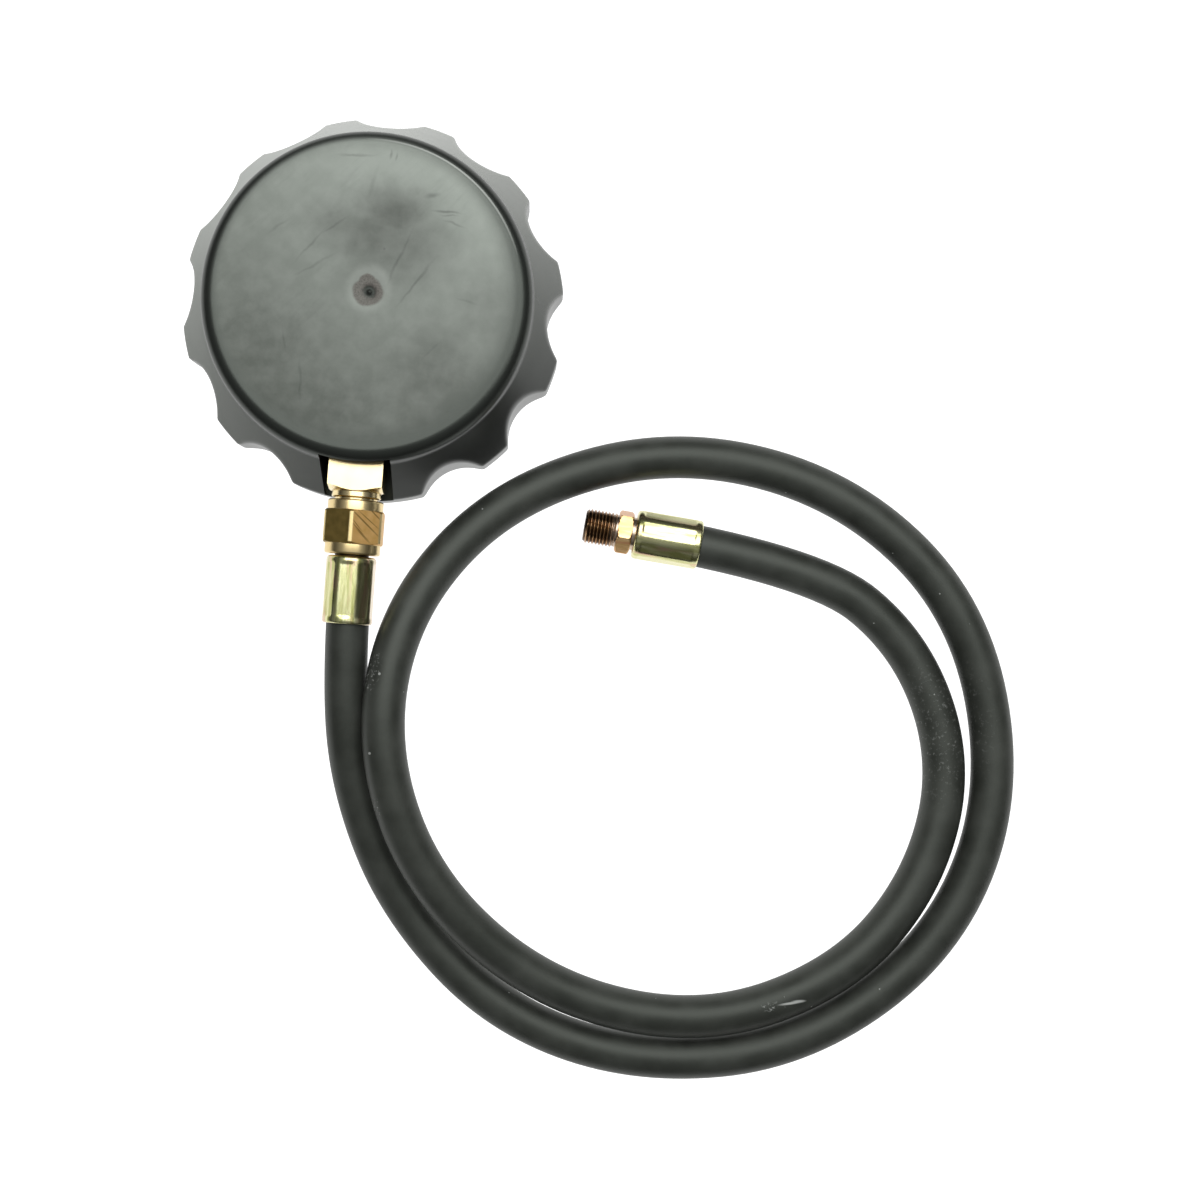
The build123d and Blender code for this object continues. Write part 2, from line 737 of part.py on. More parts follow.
def hose_tail():
    """Cone nose in the stem's seat, collar behind which the nut pulls, neck and barbs in the hose."""
    collar_end = nut_end - nut_wall_end - thread_play
    collar_start = collar_end - tail_collar_length
    nose = stem_thread_end - (stem_seat_radius - stem_bore_radius) * math.sqrt(3) + 1.2
    hose_start = near_mouth - hose_depth
    slope = 1 / math.sqrt(3)
    nose_radius = stem_seat_radius - (stem_thread_end - nose) * slope - 0.03
    profile = [
        (tail_bore_radius, nose), (nose_radius, nose),
        (nose_radius + (collar_start - nose) * slope, collar_start),
        (tail_collar_radius, collar_start), (tail_collar_radius, collar_end),
        (tail_neck_radius, collar_end), (tail_neck_radius, hose_start),
    ] + barbed(hose_start)
    profile.append((tail_bore_radius, profile[-1][1]))
    return stem_plane * turned(profile)


def ferrule(flats_turn):
    """Crimped steel shell along Z: closed face at 0, mouth at its full length, eight crimp flats."""
    shell = turned([
        (tail_neck_radius, 0), (ferrule_radius - 0.9, 0),
        (ferrule_radius - 0.25, 0.3), (ferrule_radius, 1.0),
        (ferrule_radius, ferrule_length - 0.6), (ferrule_radius - 0.3, ferrule_length),
        (ferrule_radius - ferrule_wall, ferrule_length), (ferrule_radius - ferrule_wall, ferrule_face),
        (tail_neck_radius, ferrule_face),
    ])
    length = ferrule_length - 2 * ferrule_rim
    outline = RegularPolygon(ferrule_flat_radius, ferrule_flat_count, major_radius=False,
                             rotation=flats_turn)
    flats = extrude(outline, length)
    crimp = disc(ferrule_radius + 1, 0, length) - flats
    return shell - Pos(0, 0, ferrule_rim) * crimp


def ferrule_gauge_end():
    return stem_plane * (Pos(0, 0, near_ferrule_start) * ferrule(near_flats_turn))


def ferrule_engine_end():
    """The same shell; its mouth is at the far plane and its closed face further along the axis."""
    turned_round = Pos(0, 0, ferrule_length) * Rot(180, 0, 0)
    return far_plane * (turned_round * ferrule(far_flats_turn))


def engine_adapter():
    """Steel hose end for the engine: barbs, neck, hexagon and M10 x 1 male thread, drilled through."""
    hex_start = ferrule_length + adapter_neck
    hex_end = hex_start + adapter_hex_length
    end = hex_end + adapter_relief + adapter_thread_length
    hose_start = hose_depth
    barbs = [(r, 2 * hose_start - s) for r, s in reversed(barbed(hose_start))]
    profile = [(tail_bore_radius, barbs[0][1])] + barbs + [
        (tail_neck_radius, hose_start), (tail_neck_radius, hex_end + adapter_relief),
        (adapter_thread_radius, hex_end + adapter_relief), (adapter_thread_radius, end - adapter_lead_in),
        (adapter_thread_radius - adapter_lead_in, end), (tail_bore_radius, end),
    ]
    across = adapter_hex_across / 2
    hexagon = Pos(0, 0, hex_start) * extrude(
        RegularPolygon(across, 6, major_radius=False, rotation=adapter_hex_turn), adapter_hex_length)
    chamfers = turned([
        (tail_neck_radius, hex_start), (across, hex_start), (across * 1.16, hex_start + 0.6),
        (across * 1.16, hex_end - 0.6), (across, hex_end), (tail_neck_radius, hex_end),
    ])
    return far_plane * (turned(profile) + (hexagon & chamfers))


def hose_points():
    """Corners of the hose's route, from inside the near ferrule to inside the far one."""
    start = Vector(0, -(near_mouth - hose_depth), stem_height)
    end = far_plane.from_local_coords(Vector(0, 0, hose_depth))
    middle = [Vector(*p) for p in hose_route]
    leaving = Vector(0, -first_bend_reach, stem_height)
    arriving = far_plane.from_local_coords(Vector(0, 0, -last_bend_reach))
    return [start, leaving] + middle + [arriving, end]


def bend_radii(points):
    radii = []
    for before, here, after in zip(points, points[1:], points[2:]):
        turn = (here - before).get_angle(after - here)
        shorter = min((here - before).length, (after - here).length)
        radii.append(0.45 * shorter / math.tan(math.radians(turn / 2)))
    return radii


def hose():
    """Rubber hose, plain along its way and bored only where the barbed inserts go in."""
    points = hose_points()
    radii = bend_radii(points)
    path = FilletPolyline(*points, radius=radii)
    section = Plane(origin=path @ 0, z_dir=path % 0) * Circle(hose_radius)
    body = sweep(section, path=path)
    share = body.volume / (math.pi * hose_radius ** 2 * path.length)
    print("hose radii", [round(r, 1) for r in radii])
    print("hose length", round(path.length, 1), "volume share", round(share, 5))
    inserts = Pos(0, 0, -1) * extrude(Circle(barb_radius + hose_fit), barb_count * barb_pitch + 2)
    near = stem_plane * (Pos(0, 0, near_mouth - hose_depth) * inserts)
    far = far_plane * (Pos(0, 0, hose_depth) * Rot(180, 0, 0) * inserts)
    return body - near - far


builders = [
    protective_boot, gauge_case, bezel_ring, window, window_gasket, dial_plate, dial_screws, dial_pillars,
    zero_stop_pin, pointer, pinion_arbor, hairspring_collet, hairspring, hairspring_stud, sector_gear,
    sector_staff, sector_link_pin, link, bourdon_tube, bourdon_tip, tip_link_pin, movement_front_plate,
    movement_back_plate, movement_pillars, movement_screws, foot_screws, stem_socket, restrictor_screw,
    case_screws, swivel_nut, hose_tail, ferrule_gauge_end, hose, ferrule_engine_end, engine_adapter,
]
solids = {build.__name__: build() for build in builders}

# The origin is the middle of the gauge's footprint, boot and nut together, on the bench.
boot_box = solids["protective_boot"].bounding_box()
nut_box = solids["swivel_nut"].bounding_box()
gauge_y = -(boot_box.max.Y + nut_box.min.Y) / 2
print("gauge axis at y", round(gauge_y, 4))

os.makedirs("parts", exist_ok=True)
for name, solid in solids.items():
    export_step(Pos(0, gauge_y, 0) * solid, f"parts/{name}.step")
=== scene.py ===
import math

import bmesh
import bpy
from mathutils import Matrix, Vector


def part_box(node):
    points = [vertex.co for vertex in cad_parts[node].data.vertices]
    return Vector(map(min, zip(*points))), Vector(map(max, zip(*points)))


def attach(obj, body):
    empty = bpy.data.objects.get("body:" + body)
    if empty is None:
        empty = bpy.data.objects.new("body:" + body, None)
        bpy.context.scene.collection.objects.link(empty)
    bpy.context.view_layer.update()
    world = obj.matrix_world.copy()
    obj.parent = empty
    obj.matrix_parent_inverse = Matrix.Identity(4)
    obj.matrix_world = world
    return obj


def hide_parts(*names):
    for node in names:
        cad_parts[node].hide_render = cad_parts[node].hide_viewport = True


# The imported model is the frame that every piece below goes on. Lengths are metres, MM is one
# millimetre, and the gauge lies dial down with its axis upright at (0, gauge_y).
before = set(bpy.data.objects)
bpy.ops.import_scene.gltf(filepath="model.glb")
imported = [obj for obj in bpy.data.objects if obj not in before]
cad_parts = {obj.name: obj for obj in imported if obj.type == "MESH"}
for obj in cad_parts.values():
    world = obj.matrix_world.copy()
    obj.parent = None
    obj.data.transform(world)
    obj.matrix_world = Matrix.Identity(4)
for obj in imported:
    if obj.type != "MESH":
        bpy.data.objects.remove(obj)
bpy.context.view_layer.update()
MM = 0.001
window_low, window_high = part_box("window")
gauge_y = (window_low[1] + window_high[1]) / 2


# The bench: a wide sheet of white paper under one large softbox that hangs above it, a little towards
# the back and the right. Paper gives a plain white ground with hardly any shadow, and it is what the
# metal mirrors from below.
paper_half_width = 2.5
paper_drop = 0.15 * MM
paper_white = 1.35
paper_white_share = 0.93
softbox_size = (1.2, 1.02)
softbox_height = 1.05
softbox_right = 0.11
softbox_back = 0.49
softbox_power = 14.6
paper_grey = "#f2f2f0"
room_horizon = "#2b2b2a"
room_ceiling = "#8f9090"


def linear(colour):
    """An sRGB hex colour as linear RGBA."""
    channels = [int(colour[k:k + 2], 16) / 255 for k in (1, 3, 5)]
    return tuple(c / 12.92 if c <= 0.04045 else ((c + 0.055) / 1.055) ** 2.4 for c in channels) + (1.0,)


def set_inputs(tree, node, inputs):
    """Fills inputs with values or hex colours, or links them to a socket or to a node's first output."""
    for name, value in inputs.items():
        if isinstance(value, bpy.types.Node):
            value = value.outputs[0]
        if isinstance(value, bpy.types.NodeSocket):
            tree.links.new(value, node.inputs[name])
        else:
            node.inputs[name].default_value = linear(value) if isinstance(value, str) else value


def add_node(tree, kind, inputs=None, **settings):
    """Adds a shader or geometry node, with its settings and its inputs."""
    made = tree.nodes.new(kind)
    for name, value in settings.items():
        setattr(made, name, value)
    set_inputs(tree, made, inputs or {})
    return made


def together(tree, operation, *levels):
    """Several levels brought together in turn, such as their product or the greatest of them."""
    result = levels[0]
    for level in levels[1:]:
        result = add_node(tree, "ShaderNodeMath", {0: result, 1: level}, operation=operation)
    return result


def blend(tree, factor, low, high):
    """A mix of two colours, each a hex value or a socket."""
    return add_node(tree, "ShaderNodeMix", {"Factor": factor, 6: low, 7: high}, data_type="RGBA").outputs[2]


def new_object(name, data):
    """An object in the scene for a mesh, a curve, a lamp or a camera."""
    made = bpy.data.objects.new(name, data)
    bpy.context.collection.objects.link(made)
    return made


# The paper is plain white to the eye and to what mirrors it, and lights the rest as paper does.
paper = bpy.data.materials.new("white bench paper")
paper.use_nodes = True
tree = paper.node_tree
tree.nodes.clear()
diffuse = add_node(tree, "ShaderNodeBsdfDiffuse", {"Color": paper_grey})
glow = add_node(tree, "ShaderNodeEmission", {"Color": "#ffffff", "Strength": paper_white})
ray = add_node(tree, "ShaderNodeLightPath").outputs
seen = together(tree, "MAXIMUM", ray["Is Camera Ray"], ray["Is Glossy Ray"], ray["Is Transmission Ray"])
share = together(tree, "MULTIPLY", seen, paper_white_share)
paper_mix = add_node(tree, "ShaderNodeMixShader", {0: share, 1: diffuse, 2: glow})
add_node(tree, "ShaderNodeOutputMaterial", {"Surface": paper_mix})

sheet_mesh = bpy.data.meshes.new("bench_paper")
w, down = paper_half_width, -paper_drop
sheet_mesh.from_pydata([(-w, -w, down), (w, -w, down), (w, w, down), (-w, w, down)], [], [(0, 1, 2, 3)])
sheet_mesh.materials.append(paper)
bench_paper = new_object("bench_paper", sheet_mesh)

# A dim room: dark round the horizon, grey towards the ceiling.
room = bpy.data.worlds.new("dim studio")
bpy.context.scene.world = room
room.use_nodes = True
tree = room.node_tree
tree.nodes.clear()
direction = add_node(tree, "ShaderNodeTexCoord").outputs["Generated"]
height = add_node(tree, "ShaderNodeSeparateXYZ", {0: direction}).outputs["Z"]
rise = add_node(tree, "ShaderNodeMapRange", {"Value": height, "From Min": 0.15, "From Max": 0.85},
                interpolation_type="SMOOTHSTEP")
shade = blend(tree, rise, room_horizon, room_ceiling)
light = add_node(tree, "ShaderNodeBackground", {"Color": shade, "Strength": 1.0})
add_node(tree, "ShaderNodeOutputWorld", {"Surface": light})

softbox_lamp = bpy.data.lights.new("softbox", "AREA")
softbox_lamp.shape = "RECTANGLE"
softbox_lamp.size, softbox_lamp.size_y = softbox_size
softbox_lamp.energy = softbox_power
softbox = new_object("softbox", softbox_lamp)
softbox.location = (softbox_right, softbox_back + gauge_y, softbox_height)

scene = bpy.context.scene
scene.view_settings.view_transform = "Standard"

# The camera looks straight down from 500 mm, turned so that the stem leans to the lower left. The
# photograph's frame is off to one side of the point below the lens, hence the small shift.
camera_height = 0.5
camera_across = 51.11 * MM
camera_along = -80.64 * MM + gauge_y
camera_turn = 4.4
sensor_width = 36
frame_pixels = 1200
below_lens = (531.9, 608.6)
pixel_on_bench = 0.28975 * MM
camera_data = bpy.data.cameras.new("camera")
camera_data.sensor_width = sensor_width
camera_data.lens = sensor_width * camera_height / (frame_pixels * pixel_on_bench)
camera_data.shift_x = (frame_pixels / 2 - below_lens[0]) / frame_pixels
camera_data.shift_y = (below_lens[1] - frame_pixels / 2) / frame_pixels
camera = new_object("camera", camera_data)
camera.location = (camera_across, camera_along, camera_height)
camera.rotation_euler = (0, 0, math.radians(camera_turn))
scene.camera = camera


# The hose: 12 mm extruded nitrile rubber over a braid, matte charcoal with a soft highlight. It is
# one length of 0.97 m, clamped in a ferrule at each end, and lies in a loop and three quarters.
hose_radius = 6 * MM
stem_height = 19.5
hose_start = 71.2
hose_route = [
    (0, -hose_start, stem_height), (0, -104, stem_height), (4.9, -136.4, 13.5), (20.3, -168.7, 8), (50.4, -197, 6),
    (91, -208, 6), (137.1, -200.2, 6), (175.6, -168, 6), (189.5, -123, 6), (176.4, -71.8, 6), (138.6, -39.9, 6),
    (89, -31.1, 6), (42.8, -47.7, 8.5), (15.8, -80.4, stem_height), (10.4, -120.1, 25.2), (26.7, -160, stem_height),
    (63.4, -188.9, 10.9), (109, -195.2, 10.4), (147.9, -177.8, 9.1), (169, -149.1, 6.7), (174.3, -115, 6),
    (160.1, -82.4, 6), (130.746, -62.141, 7), (79.881, -57.243, 7),
]
rubber_dark = "#292b27"
rubber_bloom = "#393b37"
scuff_white = "#c4c7c3"
hose_sheen = "#f7fff4"
# Where the strands rub together and where the skin is nicked: centre, half sizes, softness of the
# edge, turn and strength.
hose_rubs = [((8.5, -101.5, 28), (2, 5.5, 6), 0.5, -12, 0.6), ((12.5, -139, 27), (1.2, 3.2, 5), 0.5, 12, 0.45),
             ((127, -187, 15), (3, 1.2, 4), 0.5, 12, 0.6), ((168.8, -106, 12), (12, 16, 12), 0.7, 0, 0.2)]
hose_nicks = [((10.9, -101.6, 28), (0.35, 0.35, 5), 0.3, 0, 0.6),
              ((9.9, -123.5, 29), (0.35, 0.35, 5), 0.3, 0, 0.6),
              ((132.3, -185.5, 14), (3.2, 0.34, 5), 0.5, 12, 0.8),
              ((134.2, -184.9, 14), (1.8, 0.4, 5), 0.5, 8, 0.75)]


def new_material(name):
    """A node material, with its tree, the shader on its output and its texture coordinates."""
    material = bpy.data.materials.new(name)
    material.use_nodes = True
    tree = material.node_tree
    tree.nodes.clear()
    shader = add_node(tree, "ShaderNodeBsdfPrincipled")
    add_node(tree, "ShaderNodeOutputMaterial", {"Surface": shader})
    return material, tree, shader, add_node(tree, "ShaderNodeTexCoord").outputs


def from_gauge(tree, coords):
    """Object coordinates, measured from the gauge's axis."""
    return add_node(tree, "ShaderNodeMapping", {"Vector": coords["Object"], "Location": (0, -gauge_y, 0)})


def near_spot(tree, where, centre, size, softness, turn=0.0, strength=1.0):
    """A level that is its strength in an ellipsoid round a point in millimetres, and 0 past its soft
    edge. The ellipsoid lies level, and its turn is seen from above."""
    scaled = add_node(tree, "ShaderNodeMapping", {
        "Vector": where, "Location": [c * MM for c in centre], "Rotation": (0, 0, math.radians(turn)),
        "Scale": [half * MM for half in size]}, vector_type="TEXTURE")
    far = add_node(tree, "ShaderNodeVectorMath", {0: scaled}, operation="LENGTH").outputs["Value"]
    return add_node(tree, "ShaderNodeMapRange", {
        "Value": far, "From Min": 1 + softness, "From Max": max(0.0, 1 - softness), "To Max": strength},
        interpolation_type="SMOOTHSTEP")


def roughened(tree, where, size, detail, strength, depth, under=None):
    """A noise that makes a surface uneven, its size and depth in millimetres, over another one or none."""
    noise = add_node(tree, "ShaderNodeTexNoise", {"Vector": where, "Scale": 1 / (size * MM), "Detail": detail})
    relief = add_node(tree, "ShaderNodeBump", {"Height": noise, "Strength": strength, "Distance": depth * MM})
    if under:
        set_inputs(tree, relief, {"Normal": under})
    return relief


hose_rubber, tree, shader, coords = new_material("extruded nitrile rubber")
skin = coords["Object"]
# Talc left in the skin clouds the black over a few millimetres.
cloud = add_node(tree, "ShaderNodeTexNoise", {"Vector": skin, "Scale": 1 / (9 * MM), "Detail": 5.0})
cloudy = add_node(tree, "ShaderNodeMapRange", {"Value": cloud, "From Min": 0.35, "From Max": 0.7})
colour = blend(tree, cloudy, rubber_dark, rubber_bloom)
gloss = add_node(tree, "ShaderNodeMapRange", {
    "Value": cloud, "From Min": 0.3, "From Max": 0.7, "To Min": 0.46, "To Max": 0.54})
# White dust specks, thinly scattered, scuffs where another strand has rubbed, and nicks.
specks = add_node(tree, "ShaderNodeTexVoronoi", {"Vector": skin, "Scale": 1 / (4.5 * MM)}, feature="F1")
speck = together(tree, "LESS_THAN", specks.outputs["Distance"], 0.045)
pick = add_node(tree, "ShaderNodeSeparateColor", {0: specks.outputs["Color"]})
few = together(tree, "GREATER_THAN", pick, 0.72)
dust = together(tree, "MULTIPLY", speck, few, 0.5)
scratch_field = add_node(tree, "ShaderNodeTexNoise", {
    "Vector": skin, "Scale": 1 / (1.1 * MM), "Detail": 6.0, "Roughness": 0.7})
scratch = add_node(tree, "ShaderNodeMapRange", {"Value": scratch_field, "From Min": 0.56, "From Max": 0.66})
place = from_gauge(tree, coords)
rubbed, nicked = [together(tree, "MAXIMUM", *[near_spot(tree, place, *spot) for spot in spots])
                  for spots in (hose_rubs, hose_nicks)]
marks = together(tree, "MAXIMUM", together(tree, "MULTIPLY", rubbed, scratch), dust, nicked)
set_inputs(tree, shader, {
    "Base Color": blend(tree, marks, colour, scuff_white), "Roughness": gloss, "Specular Tint": hose_sheen,
    "Normal": roughened(tree, skin, 0.7, 3.0, 0.12, 0.05)})

hose_curve = bpy.data.curves.new("rubber_hose", "CURVE")
hose_curve.dimensions = "3D"
hose_curve.bevel_depth = hose_radius
hose_curve.bevel_resolution = 14
hose_curve.resolution_u = 14
hose_curve.use_fill_caps = True
hose_line = hose_curve.splines.new("NURBS")
hose_line.points.add(len(hose_route) - 1)
for point, (x, y, z) in zip(hose_line.points, hose_route):
    point.co = (x * MM, y * MM + gauge_y, z * MM, 1.0)
hose_line.order_u = 3
hose_line.use_endpoint_u = True
hose_curve.materials.append(hose_rubber)
rubber_hose = new_object("rubber_hose", hose_curve)
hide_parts("hose")
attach(rubber_hose, "gauge")


# The boot: one compression moulding in black nitrile rubber that is stretched over the gauge. Twelve
# scallops leave grip lobes, the back is slightly dished and carries the gate's mark, and the skin is
# semi-matte with a grey bloom. Painted light and shade lie over it: paler towards the light, dark where it
# turns away, and painted dark patches for the shading of its uneven back.
lobe_radius = 53.9
land_top = 12.5
shoulder_radius = 45.22
shoulder_height = 30.6
back_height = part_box("protective_boot")[1][2] / MM
back_round = 3.9
scallop_radius = 13.0
scallop_place = 62.3
scallop_turn = -0.8
scallop_top = 24.0
scallop_inside = 44.0
lobe_count = 12
lobe_edge_round = 1.1
front_edge_round = 1.6
rim_opening = 37.8
rim_thickness = 2.4
cavity_radius = 42.07
cavity_floor = 31.77
case_fit = 41.12
bezel_seat = 10.57
seat_bevel = 0.85
case_corner = 2.0
rim_flat = 46.0
slot_half_width = 9.75
slot_low = 10.5
slot_high = 33.3
slot_inner = 36.0
cut_past = 5.0
boot_steps = 720
dish_depth = 0.25
dish_crown = 0.1
# The gate's mark lies off the middle. Its profile is radius and height over the dish.
gate_place = (0.9, 1.25)
gate_blend = 24.0
gate_profile = [(0, -0.16), (0.35, -0.17), (0.6, -0.42), (1.2, -0.5), (1.75, -0.4), (2.3, -0.2), (3.2, -0.14),
                (4.0, -0.1), (4.6, -0.03), (5.4, 0.02), (6.6, 0.01)]
# Where the bloom ends on the disc: sharply, and on the front side softly, in a painted shade that fades it into the
# dark ring. Then where it starts again past the rounded ring.
disc_edge = 42.5
disc_fade = 3.0
shaded_edge_start = 45.5
shaded_edge_end = 36.0
ring_edge = 45.8
ring_fade = 0.8
pale_edge = 42.3
# How far the painted light gradient of the bloom reaches on the disc, how far noise makes it wander, and how far it
# reaches on the cone.
lit_bloom_span = 40.0
bloom_wander = 28.0
light_span = 45.0
# Clean black rubber, then the bloom's greys: painted darker for the side in shade and paler for the side in light.
boot_black = "#1c1e1c"
shaded_bloom_grey = "#494c47"
lit_bloom_grey = "#959b94"
lit_cone_bloom = "#81867f"
smudge_black = "#1b1c1a"
shade_patch_black = "#31312e"
mottle_grey = "#c3c7c1"
edge_highlight_grey = "#e2e5e0"
halo_grey = "#b4b8b2"
gate_dark = "#292624"
gate_light = "#7b746f"
gate_hole = "#0b0b0a"
boot_sheen = "#f4fff3"
# Height of the marks, and how far up and down they reach.
mark_height = 34.5
mark_depth = 3.0
stroke_height = 34.8
shade_patch_height = 34
shade_patch_depth = 20
# Painted shade: dark patches that stand for the shading of the disc's uneven surface: centre, half sizes, strength.
boot_shade_patches = [((5.7, 22.4), (9.5, 6.5), 0.8), ((1.4, 16.5), (10, 7), 0.68), ((11.1, 16.5), (8, 7), 0.56),
                ((-8, 19.1), (8, 5.5), 0.42), ((12.4, 10.5), (7, 7), 0.42), ((-6, -29), (14, 7), 0.24),
                ((22, -21), (13, 13), 0.48), ((33, -2), (8, 12), 0.3), ((-24, -14), (12, 10), 0.22),
                ((7.5, 15.5), (13, 10.5), 0.6)]
# Dark strokes where something has scraped it: centre, half length, half width, turn, strength.
boot_strokes = [((8.4, 11.1), 5.8, 0.34, 70, 0.42), ((13.1, 4.6), 5.5, 0.32, 56, 0.4),
                ((15.6, 8.4), 1.6, 0.4, 60, 0.3), ((20.1, 24.2), 2.7, 0.28, -1, 0.55),
                ((22.4, 21.2), 2.1, 0.26, -12, 0.38), ((21, 23.2), 1.6, 0.2, 2, 0.35),
                ((15.7, 28), 1.5, 0.55, 15, 0.4), ((-15.8, 12.9), 4.3, 0.28, 52, 0.3),
                ((-9.9, 18.2), 3.4, 0.28, 35, 0.3), ((-14.2, 7.4), 4.7, 0.28, 32, 0.25),
                ((-0.4, 30.6), 3.3, 0.5, 75, 0.16), ((-5.5, 37.7), 3.4, 0.3, 4, 0.35),
                ((4.1, 13.2), 0.3, 0.25, 0, 0.5), ((3.9, 38.5), 0.9, 0.25, 85, 0.4),
                ((5.2, 38.2), 0.8, 0.25, 80, 0.35), ((-11.6, 21.2), 1.1, 0.7, 30, 0.25),
                ((-15.9, -24.5), 4.5, 0.32, 97, 0.32), ((-21.2, -13.3), 2.3, 0.3, 100, 0.32),
                ((-25, 17), 2.6, 0.3, 40, 0.25), ((18.5, -13.5), 2.4, 0.3, 48, 0.18),
                ((27.5, 0.5), 2.2, 0.3, -8, 0.22)]


def finish_mesh(name, points, faces, material, smooth_angle=32.0):
    """A closed mesh object with faces outwards, smooth but for edges over the angle."""
    mesh = bpy.data.meshes.new(name)
    build = bmesh.new()
    made = [build.verts.new(p) for p in points]
    for face in faces:
        build.faces.new([made[k] for k in face])
    bmesh.ops.remove_doubles(build, verts=build.verts, dist=0.002 * MM)
    bmesh.ops.recalc_face_normals(build, faces=build.faces)
    for face in build.faces:
        face.smooth = True
    for edge in build.edges:
        if len(edge.link_faces) == 2 and edge.calc_face_angle(0) > math.radians(smooth_angle):
            edge.smooth = False
    build.to_mesh(mesh)
    build.free()
    mesh.materials.append(material)
    return new_object(name, mesh)


def ring_faces(rows, columns):
    """Faces that join rows of points, each closed on itself, in order."""
    faces = []
    for row in range(rows - 1):
        for column in range(columns):
            beside = (column + 1) % columns
            faces.append((row * columns + column, row * columns + beside,
                          (row + 1) * columns + beside, (row + 1) * columns + column))
    return faces


def arc(centre_r, centre_z, radius, start, end, count):
    """Profile points on an arc, angles from the outward direction towards the back."""
    turns = [math.radians(start + (end - start) * k / count) for k in range(count + 1)]
    return [(centre_r + radius * math.cos(t), centre_z + radius * math.sin(t)) for t in turns]


def line(start, end, count):
    """Points between two profile corners, without the first."""
    return [(start[0] + (end[0] - start[0]) * k / count, start[1] + (end[1] - start[1]) * k / count)
            for k in range(1, count + 1)]


def rounded_least(a, b, radius):
    """The lesser of two lengths, with the corner between them rounded."""
    overlap = max(radius - abs(a - b), 0) / radius
    return min(a, b) - overlap * overlap * radius / 4


def scallop_reach(angle):
    """How far out the boot goes at an angle in degrees, but for the stem, before a scallop takes it off."""
    half_step = 180 / lobe_count
    if abs((angle + 90 + 180) % 360 - 180) < half_step:
        return 1000.0
    across = math.radians((angle - scallop_turn + half_step) % (2 * half_step) - half_step)
    inside = scallop_radius ** 2 - (scallop_place * math.sin(across)) ** 2
    if inside <= 0:
        return scallop_place * math.cos(across) + 8 * (abs(across) - math.asin(scallop_radius / scallop_place))
    return scallop_place * math.cos(across) - math.sqrt(inside)


dish = back_height - dish_depth
outside = [(r, dish + z) for r, z in gate_profile]
outside += [(r, dish + dish_crown * math.sin(math.pi * (r - 8) / 30)) for r in range(8, 40, 2)]
outside += [(39.2, dish + 0.02), (40.2, dish + 0.1), (40.9, dish + 0.2)]
outside += reversed(arc(shoulder_radius - back_round, back_height - back_round, back_round, 8, 90, 16))
outside += line(outside[-1], (shoulder_radius + 0.12, shoulder_height - 0.35), 3)
outside += line(outside[-1], (lobe_radius - 0.35, land_top + 0.75), 26)
outside += [(lobe_radius - 0.08, land_top + 0.1), (lobe_radius, land_top - 0.8)]
outside += line(outside[-1], (lobe_radius, front_edge_round), 8)
outside += [(lobe_radius - front_edge_round * (1 - math.cos(t)), front_edge_round * (1 - math.sin(t))) for t in
            [math.radians(a) for a in (18, 36, 54, 72, 90)]]
outer_rows = len(outside)
inside = line(outside[-1], (rim_flat, 0), 3) + line((rim_flat, 0), (rim_opening + 0.5, 0), 3)
inside += [(rim_opening, 0.5), (rim_opening, rim_thickness), (cavity_radius, rim_thickness),
           (cavity_radius, bezel_seat), (case_fit, bezel_seat + seat_bevel), (case_fit, cavity_floor - case_corner),
           (case_fit - case_corner, cavity_floor), (20, cavity_floor), (0, cavity_floor)]

boot_points = []
for number, (r, z) in enumerate(outside + inside):
    for step in range(boot_steps):
        angle = 360 * step / boot_steps
        reach = r
        if z < scallop_top and r > scallop_inside:
            # Under the rim the rows stay apart by a hundredth of a millimetre.
            reach = rounded_least(r, scallop_reach(angle) - max(0, number - outer_rows) * 0.01, lobe_edge_round)
        drift = max(0.0, 1 - r / gate_blend) ** 2 if z > shoulder_height else 0.0
        boot_points.append(((reach * math.cos(math.radians(angle)) + gate_place[0] * drift) * MM,
                            (reach * math.sin(math.radians(angle)) + gate_place[1] * drift) * MM + gauge_y, z * MM))


def off_axis(tree, where, across):
    """How far a place is from an axis, given the directions across it."""
    flat = add_node(tree, "ShaderNodeVectorMath", {0: where, 1: across}, operation="MULTIPLY")
    return add_node(tree, "ShaderNodeVectorMath", {0: flat}, operation="LENGTH").outputs["Value"]


boot_rubber, tree, shader, coords = new_material("moulded nitrile rubber")
place = from_gauge(tree, coords)
radius = off_axis(tree, place, (1, 1, 0))
# Grey bloom lies on the disc and on the cone, and painted light lies over it: the disc is painted paler towards
# the back and the right, where the softbox lights it, and the cone paler towards the back and the left. The
# rounded ring between them is rubbed clean. These are the directions in which they change, seen from above.
to_light, to_back, to_front, to_window = [
    add_node(tree, "ShaderNodeVectorMath", {0: place, 1: way}, operation="DOT_PRODUCT").outputs["Value"]
    for way in ((0.55, 0.83, 0), (-0.1, 0.99, 0), (0.5, -0.86, 0), (-0.6, 0.8, 0))]
bloom = add_node(tree, "ShaderNodeTexNoise", {
    "Vector": place, "Scale": 1 / (22 * MM), "Detail": 6.0, "Roughness": 0.62})
wander = add_node(tree, "ShaderNodeMath", {0: bloom, 1: bloom_wander * MM, 2: -bloom_wander / 2 * MM},
                  operation="MULTIPLY_ADD")
lit_bloom_level = add_node(tree, "ShaderNodeMapRange", {
    "Value": together(tree, "ADD", to_light, wander), "From Min": -lit_bloom_span * MM, "From Max": lit_bloom_span * MM})
